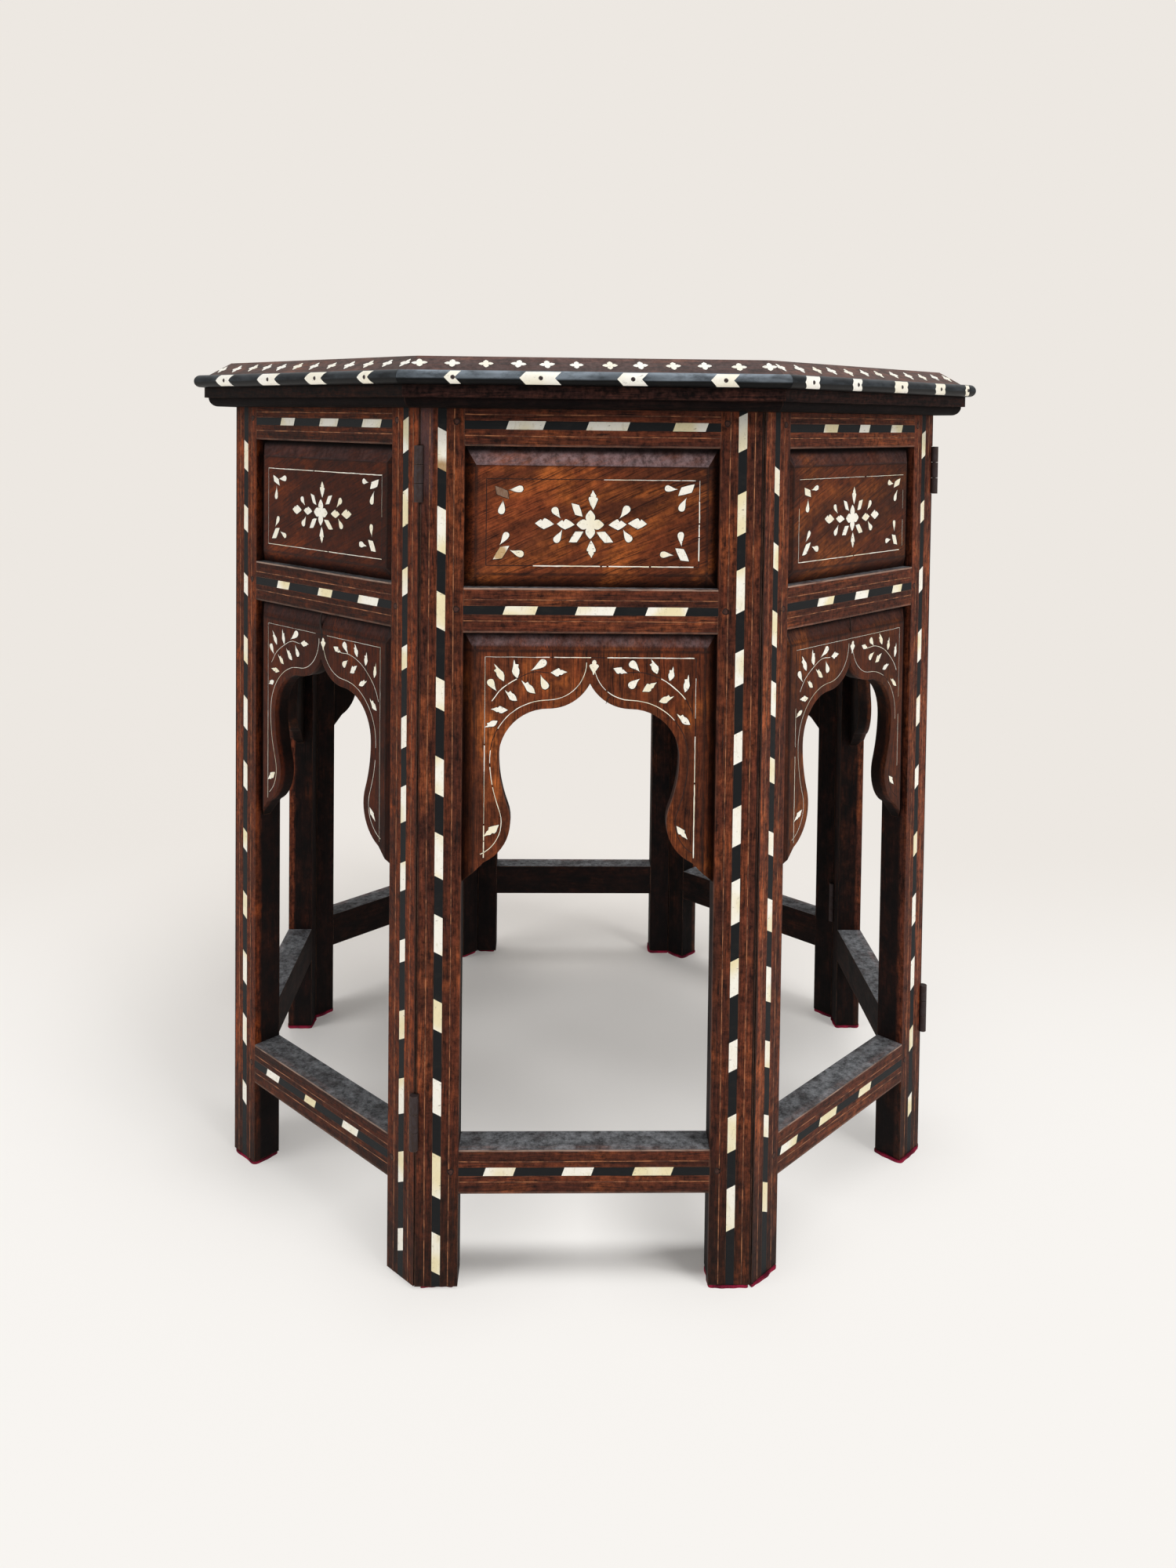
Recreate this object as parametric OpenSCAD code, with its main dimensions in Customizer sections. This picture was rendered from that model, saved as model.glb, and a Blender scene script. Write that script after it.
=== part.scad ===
// Folding octagonal side table: a ring of eight hinged, framed panels stands on the floor,
// and a lift-off octagonal top with an apron ring rests on their top edges.
// Origin on the floor at the centre of the octagon, +Z up, front panel facing -Y.

/* [Table] */
// Height of the panels, from the floor to the edge that carries the top
base_height = 526; // [420:1:640]
// Width of one panel across its outer face, mitre to mitre
panel_width = 202; // [190:1:240]
// Thickness of stiles and rails
frame_thickness = 19.5; // [18:0.5:24]
// Gap between neighbouring panels at their mitres
panel_gap = 0.6; // [0.4:0.1:1.5]
// Thickness of the felt pad under each foot
pad_thickness = 2; // [1.6:0.2:4]
// How far the felt pad stays in from the foot's edges
pad_inset = 0.8; // [0.4:0.1:2]

/* [Panel frame] */
// Width of each stile
stile_width = 26; // [25:0.5:32]
// Height of the top rail
top_rail_height = 22; // [20:0.5:30]
// Height of the middle rail
middle_rail_height = 26.5; // [22:0.5:34]
// Height of the stretcher between the feet
stretcher_height = 26.5; // [18:0.5:34]
// Opening between the top rail and the middle rail
field_height = 83; // [60:1:110]
// Level of the stretcher's underside
stretcher_level = 58.5; // [30:0.5:90]
// Length of the tenons on the rails
tenon_length = 17; // [12:0.5:18]
// Shoulder that each tenon leaves above and below it
tenon_shoulder = 6.5; // [6:0.5:8]

/* [Boards] */
// Depth of the board's flat field behind the frame's face
field_depth = 1.5; // [0.8:0.1:3]
// Depth of the groove's front wall behind the frame's face
groove_depth = 6.5; // [5:0.5:8]
// Thickness of the tongue, which is also the groove's width
tongue_thickness = 5.5; // [4:0.5:7]
// Reach of the tongue into the frame
tongue_reach = 5; // [4:0.5:5.5]
// Room left at the bottom of each groove
groove_relief = 0.5; // [0.2:0.1:1]
// Width of the bevel along the top of each board
bevel_top = 11; // [6:0.5:14]
// Width of the bevel along the sides of each board
bevel_side = 7; // [4:0.5:9]
// Width of the bevel along the bottom of the upper board
bevel_bottom = 8; // [5:0.5:12]

/* [Arch] */
// Drop from the middle rail to the arch's point
arch_point_drop = 30; // [24:0.5:40]
// Height of the pointed tip above the shoulders
arch_tip_rise = 15; // [8:0.5:20]
// Radius of each shoulder
arch_shoulder_radius = 29; // [22:0.5:32]
// Half of the arch's greatest width
arch_half_width = 53.5; // [44:0.5:58]
// Half of the arch's width at the waist
arch_waist_half = 46.3; // [36:0.1:48]
// Drop from the shoulders' centre to the waist
arch_waist_drop = 39; // [32:0.5:50]
// Radius of the lobe below the shoulders
arch_lobe_radius = 26; // [20:0.5:30]
// Direction in which the lobe ends, measured at its centre
arch_lobe_end = 246; // [235:1:255]
// Drop from the waist to the spur's tip on the stile
arch_spur_drop = 37; // [30:0.5:46]
// Straight pieces in each round stretch of the arch
arch_steps = 12; // [6:1:20]

/* [Banding] */
// Width of the banding strip
band_width = 5; // [4:0.2:6]
// Depth of the banding strip
band_depth = 1.2; // [0.8:0.1:2]
// Distance of the banding from a stile's outer edge to its middle
band_inset = 13; // [11:0.5:14]
// Length of a bone piece on the stiles
stile_bone = 22; // [14:0.5:30]
// Pitch of the bone pieces on the left stiles
left_pitch = 47.7; // [44:0.1:60]
// Pitch of the bone pieces on the right stiles
right_pitch = 46.4; // [44:0.1:60]
// Slant across the banding of the joints on the stiles
stile_slant = 2.6; // [0:0.1:4]
// Length of a bone piece on the rails
rail_bone = 20; // [12:0.5:26]
// Slant across the banding of the joints on the rails
rail_slant = 1.8; // [0:0.1:4]
// Distance of the top rail's banding below the top edge
top_band_drop = 9.6; // [8:0.1:12]
// How far the hand-cut joints of the banding stray from an even pitch
hand_play = 2.2; // [0:0.1:3]

/* [Hinges] */
// Height of each hinge
hinge_height = 33; // [27:0.5:40]
// Distance of the upper hinges below the top edge
upper_hinge_drop = 22; // [16:0.5:40]
// Level of the lower hinges' bottom end
lower_hinge_level = 86; // [60:0.5:110]
// Radius of the knuckles
knuckle_radius = 2.65; // [2.4:0.05:3]
// Radius of the hinge pins
pin_radius = 1.2; // [1:0.05:1.5]
// Distance of the hinge axis beyond the panel's corner
axis_proud = 1.2; // [1.1:0.1:1.6]
// Thickness of the leaves
leaf_thickness = 1; // [0.8:0.1:1.2]
// Width of the leaves, from the hinge axis
leaf_width = 15; // [12:0.5:17]
// Running clearance of a pin in its knuckle
pin_clearance = 0.06; // [0.03:0.01:0.1]
// Gap between two knuckles
knuckle_gap = 0.3; // [0.2:0.05:0.6]

/* [Top] */
// Hairline between the panels' top edges and the apron ring that rests on them
seat_gap = 0.05; // [0.02:0.01:0.3]
// Hairline at each mitre of the ring, the lipping and the border
mitre_hairline = 0.1; // [0.04:0.02:0.4]
// Reach of the apron ring's fascia beyond the panels' outer faces
apron_overhang = 19.7; // [10:0.1:40]
// Width of the apron ring's seat on the panels' top edges
apron_seat = 16; // [8:0.5:19]
// Height of the apron ring's fascia
fascia_height = 7; // [5:0.5:12]
// Radius of the quarter-round under the fascia
ovolo_radius = 6; // [4:0.5:8]
// Step from the fascia in to the quarter-round
fascia_step = 2.5; // [1:0.5:4]
// Step from the lipping's face in to the fascia
fascia_inset = 6.5; // [5:0.5:10]
// Height of the rounded lipping
lipping_height = 8.3; // [7:0.1:12]
// Depth of the lipping from front to back
lipping_depth = 9; // [7:0.5:14]
// Rise of the bevelled border above the lipping
border_rise = 8.7; // [4:0.1:14]
// Width of the border's bevel, seen from above
border_bevel = 14; // [10:0.5:24]
// Width of the border strips from the lipping inwards
border_width = 38; // [30:0.5:60]
// Depth of the bone chevrons let into the lipping
chevron_depth = 2.2; // [1.5:0.1:3]
// Point of each chevron, which is also the notch at its other end
chevron_point = 4; // [2:0.5:6]
// Pitch of the chevrons along a side of the top
chevron_pitch = 51; // [40:0.5:53]

/* [Hidden] */
SIDES = 8;
TURN = 360 / SIDES;
HALF = TURN / 2;
PANELS = ["front", "front_right", "right", "back_right", "back", "back_left", "left", "front_left"];
PARTS = ["stiles", "rails", "boards", "bone_inlay", "ebony_inlay", "hinges", "feet"];
TOP = ["top_board", "top_lipping", "top_bone_inlay", "apron_ring"];

WOOD = "#5a2a1b";
BOARD = "#6b351d";
EBONY = "#1b1714";
BONE = "#e9e0c4";
IRON = "#2e2926";
FELT = "#9c4a44";
eps = 0.01;

base_across = panel_width / tan(HALF);
half_width = panel_width / 2;
mitre_gap = panel_gap / 2 / cos(HALF);
open_half = half_width - stile_width;
band_x = half_width - band_inset;

// Levels of the frame's members, from the top edge down
top_rail_z = base_height - top_rail_height;
middle_top_z = top_rail_z - field_height;
middle_z = middle_top_z - middle_rail_height;
stretcher_z = stretcher_level;
upper_hinge_z = base_height - upper_hinge_drop - hinge_height;
HINGE_Z = [upper_hinge_z, lower_hinge_level];

// Axis of an outside and of an inside hinge, seen from above at a panel's right corner
corner_inset = frame_thickness * tan(HALF);
outer_axis = [half_width + axis_proud * sin(HALF), -axis_proud * cos(HALF)];
inner_axis = [half_width - corner_inset - axis_proud * sin(HALF), frame_thickness + axis_proud * cos(HALF)];

// Levels and centres of the arch's round stretches, on its right half
point_z = middle_z - arch_point_drop;
shoulder_top = point_z - arch_tip_rise;
shoulder_x = arch_half_width - arch_shoulder_radius;
shoulder_z = shoulder_top - arch_shoulder_radius;
tip_radius = (pow(shoulder_x, 2) + pow(arch_tip_rise, 2)) / (2 * arch_tip_rise);
waist_z = shoulder_z - arch_waist_drop;
lobe_x = arch_waist_half + arch_lobe_radius;
spur_z = waist_z - arch_spur_drop;
flank_reach = lobe_x - arch_half_width;
flank_radius = (pow(flank_reach, 2) + pow(arch_waist_drop, 2) - pow(arch_lobe_radius, 2))
    / (2 * (arch_lobe_radius - flank_reach));
flank_x = arch_half_width - flank_radius;
flank_turn = atan2(arch_waist_drop, lobe_x - flank_x);

// Levels of the top, from its seat on the panels up
apron_z = base_height + seat_gap;
fascia_z = apron_z + ovolo_radius;
lipping_z = fascia_z + fascia_height;
border_z = lipping_z + lipping_height;
top_z = border_z + border_rise;
fascia_reach = base_across / 2 + apron_overhang;
apron_inner = base_across / 2 - apron_seat;
top_reach = fascia_reach + fascia_inset;
border_reach = top_reach - lipping_depth;

// First bone piece of each panel's left and right stile, measured down from the top edge
BAND_START = [[12.5, 2], [33.5, 12], [8, 26], [20, 5], [29, 12], [4, 33], [16, 4.5], [24, 6.5]];
// How far each panel's left and right pitch stray from the even ones, and its share of the bone's length
PITCH_PLAY = [[0.4, 0], [-4.4, 0.4], [0, -1], [-2, 0.5], [0, -2], [-1, 0], [-3, -1.4], [-3, -2.2]];
BONE_SHARE = [1, 0.8, 0.85, 0.9, 0.85, 0.9, 0.8, 0.8];
// First bone piece and pitch on each panel's top rail, middle rail and stretcher
RAIL_START = [[25, 24, 15.5], [37, 33.5, 3], [27, 20, 14], [24, 31, 22],
    [33, 22, 17], [21, 27, 25], [29, 24, 12], [30, 26.5, 15.5]];
RAIL_PITCH = [[49, 43, 45], [40, 44.5, 45.5], [45, 43, 44], [47, 42, 45],
    [42, 46, 43], [48, 44, 42], [43, 45, 46], [46, 46, 43.5]];
rail_bands = [
    base_height - top_band_drop,
    middle_z + middle_rail_height / 2,
    stretcher_z + stretcher_height / 2
];

// Place of each chevron along each side of the top, in pitches from its middle, and its length
CHEVRONS = [
    [[-1.57, 10], [-0.6, 24], [0.42, 18], [1.45, 17]],
    [[-1.77, 18], [-0.82, 14], [0.21, 20], [1.22, 17], [1.97, 9]],
    [[-1.5, 20], [-0.55, 14], [0.5, 19], [1.52, 16]],
    [[-1.6, 15], [-0.48, 22], [0.44, 17], [1.4, 20]],
    [[-1.45, 19], [-0.62, 15], [0.38, 23], [1.5, 13]],
    [[-1.55, 17], [-0.5, 20], [0.55, 14], [1.44, 21]],
    [[-1.62, 14], [-0.57, 19], [0.46, 22], [1.55, 16]],
    [[-1.43, 20], [-0.39, 24], [0.63, 21], [1.61, 14]]
];

function at_angle(a) = [cos(a), sin(a)];
function arc(centre, radius, from, to) =
    [for (i = [0:arch_steps]) centre + radius * at_angle(from + (to - from) * i / arch_steps)];

// Right half of the arch's outline, from its point down to the spur on the stile
function arch_half() = concat(
    arc([shoulder_x, shoulder_top + tip_radius], tip_radius, 270 - asin(shoulder_x / tip_radius), 270),
    arc([shoulder_x, shoulder_z], arch_shoulder_radius, 90, 0),
    arc([flank_x, shoulder_z], flank_radius, 0, -flank_turn),
    arc([lobe_x, waist_z], arch_lobe_radius, 180 - flank_turn, arch_lobe_end),
    [[open_half, spur_z]]);

function flipped(points) = [for (i = [len(points) - 1:-1:0]) [-points[i][0], points[i][1]]];
function bone_count(length, start, pitch, bone) = floor((length - start - bone - band_width) / pitch) + 1;

// Uneven hand-cut lengths: where the nth joint of one banding strays to, other than the first
function stray(n, strip) = n == 0 ? 0 : hand_play * sin(137.5 * n + 71 * strip);
function joint_at(n, strip, start, pitch, bone) =
    start + floor(n / 2) * pitch + (n % 2) * bone + stray(n, strip);

module at_panel(i) rotate([0, 0, TURN * i]) translate([0, -base_across / 2, 0]) children();

// Places children with X along the mitre from the hinge axis, and Y into this panel's wood
module at_hinge(side, outside) {
    axis = outside ? outer_axis : inner_axis;
    mirror([side < 0 ? 1 : 0, 0, 0]) translate([axis[0], axis[1], 0])
        rotate([0, 0, outside ? 90 + HALF : HALF - 90]) mirror([0, outside ? 0 : 1, 0]) children();
}

// The right corner of an even panel folds on an inside hinge, and its left corner on an outside one
function is_outside(i, side) = side > 0 ? i % 2 == 1 : i % 2 == 0;

module mitred_section(side, grow) {
    mirror([side < 0 ? 1 : 0, 0, 0]) polygon([
        [open_half - grow, grow < 0 ? -grow : 0],
        [half_width - mitre_gap + grow * (1 + tan(HALF)), grow < 0 ? -grow : 0],
        [half_width - mitre_gap - corner_inset + grow, frame_thickness + grow],
        [open_half - grow, frame_thickness + grow]
    ]);
}

module board_groove(z0, z1) {
    reach = tongue_reach + groove_relief;
    translate([-open_half - reach, groove_depth, z0])
        cube([2 * (open_half + reach), tongue_thickness, z1 - z0]);
}

module tenon(z, height, extra) {
    translate([-open_half - tenon_length - extra, groove_depth, z + tenon_shoulder])
        cube([2 * (open_half + tenon_length + extra), tongue_thickness, height - 2 * tenon_shoulder]);
}

module rail_tenons(extra) {
    tenon(top_rail_z, top_rail_height, extra);
    tenon(middle_z, middle_rail_height, extra);
    tenon(stretcher_z, stretcher_height, extra);
}

module hinge_pocket(i, side) {
    for (z = HINGE_Z) at_hinge(side, is_outside(i, side)) translate([0, 0, z]) {
        translate([0, 0, -knuckle_gap])
            cylinder(r = knuckle_radius + knuckle_gap, h = hinge_height + 2 * knuckle_gap, $fn = 48);
        cube([leaf_width, panel_gap / 2 + leaf_thickness, hinge_height]);
    }
}

module stiles(i) color(WOOD) difference() {
    for (side = [-1, 1])
        translate([0, 0, pad_thickness])
            linear_extrude(base_height - pad_thickness) mitred_section(side, 0);
    for (side = [-1, 1]) {
        translate([side * band_x - band_width / 2, -1, 0])
            cube([band_width, band_depth + 1, base_height + 1]);
        hinge_pocket(i, side);
    }
    board_groove(spur_z, middle_z + tongue_reach + groove_relief);
    board_groove(middle_top_z - tongue_reach - groove_relief, top_rail_z + tongue_reach + groove_relief);
    rail_tenons(0.5);
}

module rail(z, height) translate([-open_half, 0, z]) cube([2 * open_half, frame_thickness, height]);

module rails() color(WOOD) difference() {
    union() {
        rail(top_rail_z, top_rail_height);
        rail(middle_z, middle_rail_height);
        rail(stretcher_z, stretcher_height);
        rail_tenons(0);
    }
    for (z = rail_bands)
        translate([-open_half - 1, -1, z - band_width / 2])
            cube([2 * open_half + 2, band_depth + 1, band_width]);
    board_groove(spur_z, middle_z + tongue_reach + groove_relief);
    board_groove(middle_top_z - tongue_reach - groove_relief, top_rail_z + tongue_reach + groove_relief);
}

// A raised board: two crossed sections meet in mitred bevels, with a tongue all round
module raised_board(z0, z1, foot_bevel, foot_tongue) {
    back = groove_depth + tongue_thickness;
    reach = open_half + tongue_reach;
    intersection() {
        translate([0, 0, z0 - foot_tongue]) linear_extrude(z1 - z0 + foot_tongue + tongue_reach) polygon([
            [-reach, back], [-reach, groove_depth], [-open_half, groove_depth],
            [bevel_side - open_half, field_depth], [open_half - bevel_side, field_depth],
            [open_half, groove_depth], [reach, groove_depth], [reach, back]
        ]);
        rotate([90, 0, 90]) translate([0, 0, -reach]) linear_extrude(2 * reach) polygon([
            [back, z0 - foot_tongue], [groove_depth, z0 - foot_tongue], [groove_depth, z0],
            [field_depth, z0 + foot_bevel], [field_depth, z1 - bevel_top],
            [groove_depth, z1], [groove_depth, z1 + tongue_reach], [back, z1 + tongue_reach]
        ]);
    }
}

module arch_opening() {
    half = arch_half();
    floor_z = spur_z - 1;
    edge = open_half + tongue_reach + 1;
    foot = [[edge, spur_z], [edge, floor_z], [-edge, floor_z], [-edge, spur_z]];
    polygon(concat(half, foot, flipped(half)));
}

module boards() color(BOARD) {
    raised_board(middle_top_z, top_rail_z, bevel_bottom, tongue_reach);
    difference() {
        raised_board(spur_z, middle_z, eps, 0);
        translate([0, frame_thickness, 0])
            rotate([90, 0, 0]) linear_extrude(frame_thickness) arch_opening();
    }
}

module let_in() translate([0, band_depth, 0]) rotate([90, 0, 0]) linear_extrude(band_depth) children();

// One banding piece on a stile, from level a down to level b, with slants p and q at its ends
module stile_piece(side, a, b, p, q) {
    outer = side * (band_x + band_width / 2);
    inner = side * (band_x - band_width / 2);
    polygon([[outer, a + p], [inner, a - p], [inner, b - q], [outer, b + q]]);
}

// One banding piece on a rail, from x0 to x1, with slants p and q at its ends
module rail_piece(z, x0, x1, p, q) {
    low = z - band_width / 2;
    polygon([[x0 - p, low], [x1 - q, low], [x1 + q, low + band_width], [x0 + p, low + band_width]]);
}

// The banding of panel i: its bone pieces, or the ebony ones between and beyond them
module banding(i, bone) {
    for (side = [-1, 1]) {
        strip = 2 * i + (side < 0 ? 0 : 1);
        start = BAND_START[i][side < 0 ? 0 : 1];
        play = PITCH_PLAY[i][side < 0 ? 0 : 1];
        pitch = side < 0 ? left_pitch + play : right_pitch + play;
        piece = stile_bone * BONE_SHARE[i];
        count = bone_count(base_height - pad_thickness, start, pitch, piece);
        for (j = [0:bone ? count - 1 : count]) {
            n = bone ? 2 * j : 2 * j - 1;
            first = n < 0;
            last = n == 2 * count - 1;
            a = first ? base_height : base_height - joint_at(n, strip, start, pitch, piece);
            b = last ? pad_thickness : base_height - joint_at(n + 1, strip, start, pitch, piece);
            stile_piece(side, a, b, first ? 0 : stile_slant / 2, last ? 0 : stile_slant / 2);
        }
    }
    for (k = [0:2]) {
        strip = 3 * i + k;
        start = RAIL_START[i][k];
        pitch = RAIL_PITCH[i][k];
        piece = rail_bone * BONE_SHARE[i];
        count = bone_count(2 * open_half, start, pitch, piece);
        for (j = [0:bone ? count - 1 : count]) {
            n = bone ? 2 * j : 2 * j - 1;
            first = n < 0;
            last = n == 2 * count - 1;
            x0 = first ? -open_half : joint_at(n, strip, start, pitch, piece) - open_half;
            x1 = last ? open_half : joint_at(n + 1, strip, start, pitch, piece) - open_half;
            rail_piece(rail_bands[k], x0, x1, first ? 0 : rail_slant / 2, last ? 0 : rail_slant / 2);
        }
    }
}

module bone_inlay(i) color(BONE) let_in() banding(i, true);

module ebony_inlay(i) color(EBONY) let_in() banding(i, false);

// A leaf with the two end knuckles and the pin, or with the middle knuckle that turns on the pin
module leaf(carries_pin, clearance) {
    third = hinge_height / 3;
    root = knuckle_radius + knuckle_gap;
    turns = carries_pin ? [0, 2] : [1];
    difference() {
        union() {
            translate([root, panel_gap / 2, 0]) cube([leaf_width - root, leaf_thickness, hinge_height]);
            for (k = turns) translate([0, 0, k * third + (k == 0 ? 0 : knuckle_gap / 2)]) {
                height = third - (k == 1 ? knuckle_gap : knuckle_gap / 2);
                cylinder(r = knuckle_radius, h = height, $fn = 48);
                translate([0, panel_gap / 2, 0]) cube([root + 1, leaf_thickness, height]);
            }
            if (carries_pin) cylinder(r = pin_radius, h = hinge_height, $fn = 32);
        }
        if (!carries_pin)
            translate([0, 0, -1]) cylinder(r = pin_radius + clearance, h = hinge_height + 2, $fn = 32);
    }
}

// The corner between back_right and back is where the ring of panels closes, so its pin runs looser
module hinges(i) color(IRON) {
    for (side = [-1, 1])
        for (z = HINGE_Z) at_hinge(side, is_outside(i, side))
            translate([0, 0, z]) leaf(side > 0, i == 4 && side < 0 ? pin_clearance + 0.1 : pin_clearance);
}

module feet() color(FELT) {
    for (side = [-1, 1]) linear_extrude(pad_thickness) mitred_section(side, -pad_inset);
}

module octagon(reach) rotate(HALF) circle(r = reach / cos(HALF), $fn = SIDES);

// Eight mitred lengths of one section, drawn as radius and height, round the octagon
module mitred_ring() {
    far = 2 * top_reach;
    tip = mitre_hairline / 2 / sin(HALF);
    for (i = [0:SIDES - 1]) rotate([0, 0, TURN * i]) intersection() {
        rotate([90, 0, 90]) translate([0, 0, -far / 2]) linear_extrude(far) mirror([1, 0, 0]) children();
        linear_extrude(top_z + 1) translate([0, -tip])
            polygon([[0, 0], [-far * tan(HALF), -far], [far * tan(HALF), -far]]);
    }
}

module lipping_section() {
    r = lipping_height / 2;
    translate([border_reach, lipping_z]) square([lipping_depth - r, lipping_height]);
    intersection() {
        translate([top_reach - r, lipping_z + r]) circle(r = r, $fn = 48);
        translate([top_reach - r - eps, lipping_z]) square([r + 1, lipping_height]);
    }
}

// A chevron's outline: a point at its left end and a notch of the same size at its right end
module chevron(middle, length) {
    a = middle - length / 2;
    b = middle + length / 2;
    half = lipping_height / 2;
    z = lipping_z + half;
    polygon([
        [a, z], [a + chevron_point, z - half], [b, z - half],
        [b - chevron_point, z], [b, z + half], [a + chevron_point, z + half]
    ]);
}

module chevrons() {
    for (i = [0:SIDES - 1]) rotate([0, 0, TURN * i])
        for (c = CHEVRONS[i]) translate([0, chevron_depth - top_reach, 0])
            rotate([90, 0, 0]) linear_extrude(chevron_depth + 1) chevron(c[0] * chevron_pitch, c[1]);
}

module top_board() color(WOOD) {
    inner = border_reach - border_width;
    translate([0, 0, lipping_z]) linear_extrude(top_z - lipping_z) octagon(inner);
    mitred_ring() polygon([
        [inner, lipping_z], [border_reach, lipping_z], [border_reach, border_z],
        [border_reach - border_bevel, top_z], [inner, top_z]
    ]);
}

module top_lipping() color(EBONY) difference() {
    mitred_ring() lipping_section();
    chevrons();
}

module top_bone_inlay() color(BONE) intersection() {
    mitred_ring() lipping_section();
    chevrons();
}

module apron_section() {
    centre = fascia_reach - fascia_step - ovolo_radius;
    translate([apron_inner, fascia_z]) square([fascia_reach - apron_inner, fascia_height]);
    translate([apron_inner, apron_z]) square([centre - apron_inner, ovolo_radius]);
    intersection() {
        translate([centre, fascia_z]) circle(r = ovolo_radius, $fn = 48);
        translate([centre - eps, apron_z]) square([ovolo_radius + 1, ovolo_radius]);
    }
}

module apron_ring() color(WOOD) mitred_ring() apron_section();

for (i = [0:SIDES - 1]) {
    at_panel(i) stiles(i);
    at_panel(i) rails();
    at_panel(i) boards();
    at_panel(i) bone_inlay(i);
    at_panel(i) ebony_inlay(i);
    at_panel(i) hinges(i);
    at_panel(i) feet();
}
top_board();
top_lipping();
top_bone_inlay();
apron_ring();
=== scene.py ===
import math
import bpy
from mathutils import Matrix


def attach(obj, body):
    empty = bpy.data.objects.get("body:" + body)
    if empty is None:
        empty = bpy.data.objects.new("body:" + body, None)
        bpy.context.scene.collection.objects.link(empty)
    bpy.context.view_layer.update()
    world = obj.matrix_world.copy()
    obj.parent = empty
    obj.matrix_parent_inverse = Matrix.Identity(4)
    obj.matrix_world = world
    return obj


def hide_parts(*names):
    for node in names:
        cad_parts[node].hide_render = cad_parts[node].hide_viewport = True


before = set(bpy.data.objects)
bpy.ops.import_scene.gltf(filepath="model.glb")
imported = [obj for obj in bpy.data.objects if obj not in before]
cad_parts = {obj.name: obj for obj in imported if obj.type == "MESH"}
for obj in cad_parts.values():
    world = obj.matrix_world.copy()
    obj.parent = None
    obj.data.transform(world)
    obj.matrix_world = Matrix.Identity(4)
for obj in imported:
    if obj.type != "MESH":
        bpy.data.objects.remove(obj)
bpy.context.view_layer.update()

from types import SimpleNamespace

import bpy
import numpy as np
from mathutils import Matrix, Vector

print("frame loaded:", len(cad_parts), "nodes")

mm = 0.001
eighth = math.pi / 4
mitre = math.tan(eighth / 2)  # half a side of a regular octagon that reaches 1 from its middle
panelNames = ["front", "front_right", "right", "back_right", "back", "back_left", "left", "front_left"]
scene = bpy.context.scene

# Sizes of the solids, in millimetres
panel = {
    "reach": 101 / mitre,  # from the middle of the table to a panel's face
    "openHalf": 75, "outer": 100.6,  # from a panel's middle to the inner and outer edge of its stiles
    "thickness": 19.5, "height": 526,
    "bandX": 88,  # middle of a stile's banding
    "railMiddles": (516.4, 407.75, 71.75),  # banding of top rail, middle rail, stretcher
    "fieldDepth": 1.5,  # face of the boards behind the frame
}
arch = {
    "point": 364.5, "tipRise": 15, "shoulderRadius": 29, "halfWidth": 53.5,
    "waistHalf": 46.3, "waistDrop": 39, "lobeRadius": 26, "lobeEnd": 246,
}
top = {
    "reach": 270.03, "lippingLow": 539.05, "borderLow": 547.35, "flat": 556.05,
    "borderReach": 261.03, "flatReach": 247.03, "chevronPitch": 51,
}


# Geometry, in millimetres until a place function turns it into metres
def turned(points, angle):  # about the origin, anticlockwise
    c, s = math.cos(angle), math.sin(angle)
    return points @ np.array([[c, s], [-s, c]])


def onSide(k, x, out, up):  # x along the octagon's side k, out from its middle, up; side 0 is the front
    level = turned(np.stack([x, -out], -1), k * eighth)
    return np.concatenate([level, up[..., None]], -1) * mm


def onPanel(k, points):  # x along the face, y behind it, z up
    x, y, z = points.T
    return onSide(k, x, panel["reach"] - y, z)


def onTop(points):  # x and z of the drawing lie flat, y goes down into the board
    x, y, z = points.T
    return np.stack([x, z, top["flat"] - y], 1) * mm


def onBorder(k, points):  # z of the drawing climbs the bevel from its foot, y goes into it
    run = top["borderReach"] - top["flatReach"]
    rise = top["flat"] - top["borderLow"]
    slope = math.hypot(run, rise)
    x, y, z = points.T
    out = top["borderReach"] - z * run / slope - y * rise / slope
    return onSide(k, x, out, top["borderLow"] + z * rise / slope - y * run / slope)


def prism(near, far):  # a closed solid between two like rings; near runs anticlockwise, seen from outside
    n = len(near)
    i = np.arange(n)
    j = (i + 1) % n
    sides = np.stack([i, i + n, j + n, j], 1).tolist()
    return np.concatenate([near, far]), [i.tolist(), (n + i[::-1]).tolist()] + sides


def slab(outline, front, back):  # an outline drawn anticlockwise, carried from a front to a back depth
    x, z = outline.T
    return prism(*[np.stack([x, np.full(len(x), depth), z], 1) for depth in (front, back)])


def ribbon(path, width, front, back):  # a strip whose sides stand half its width off the path, square to it
    step = np.gradient(path, axis=0)
    step /= np.linalg.norm(step, axis=1)[:, None] + 1e-9
    side = np.stack([-step[:, 1], step[:, 0]], 1) * np.broadcast_to(width, len(path))[:, None] / 2
    n = len(path)
    verts = np.zeros((n, 4, 3))
    edges = [(path + side, front), (path - side, front), (path - side, back), (path + side, back)]
    for corner, (edge, depth) in enumerate(edges):
        verts[:, corner, ::2], verts[:, corner, 1] = edge, depth
    i = np.arange(n - 1)[:, None] * 4
    c = np.arange(4)[None, :]
    d = (c + 1) % 4
    walls = np.stack([i + c, i + d, i + 4 + d, i + 4 + c], 2).reshape(-1, 4).tolist()
    return verts.reshape(-1, 3), walls + [[3, 2, 1, 0], [4 * n - 4, 4 * n - 3, 4 * n - 2, 4 * n - 1]]


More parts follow.
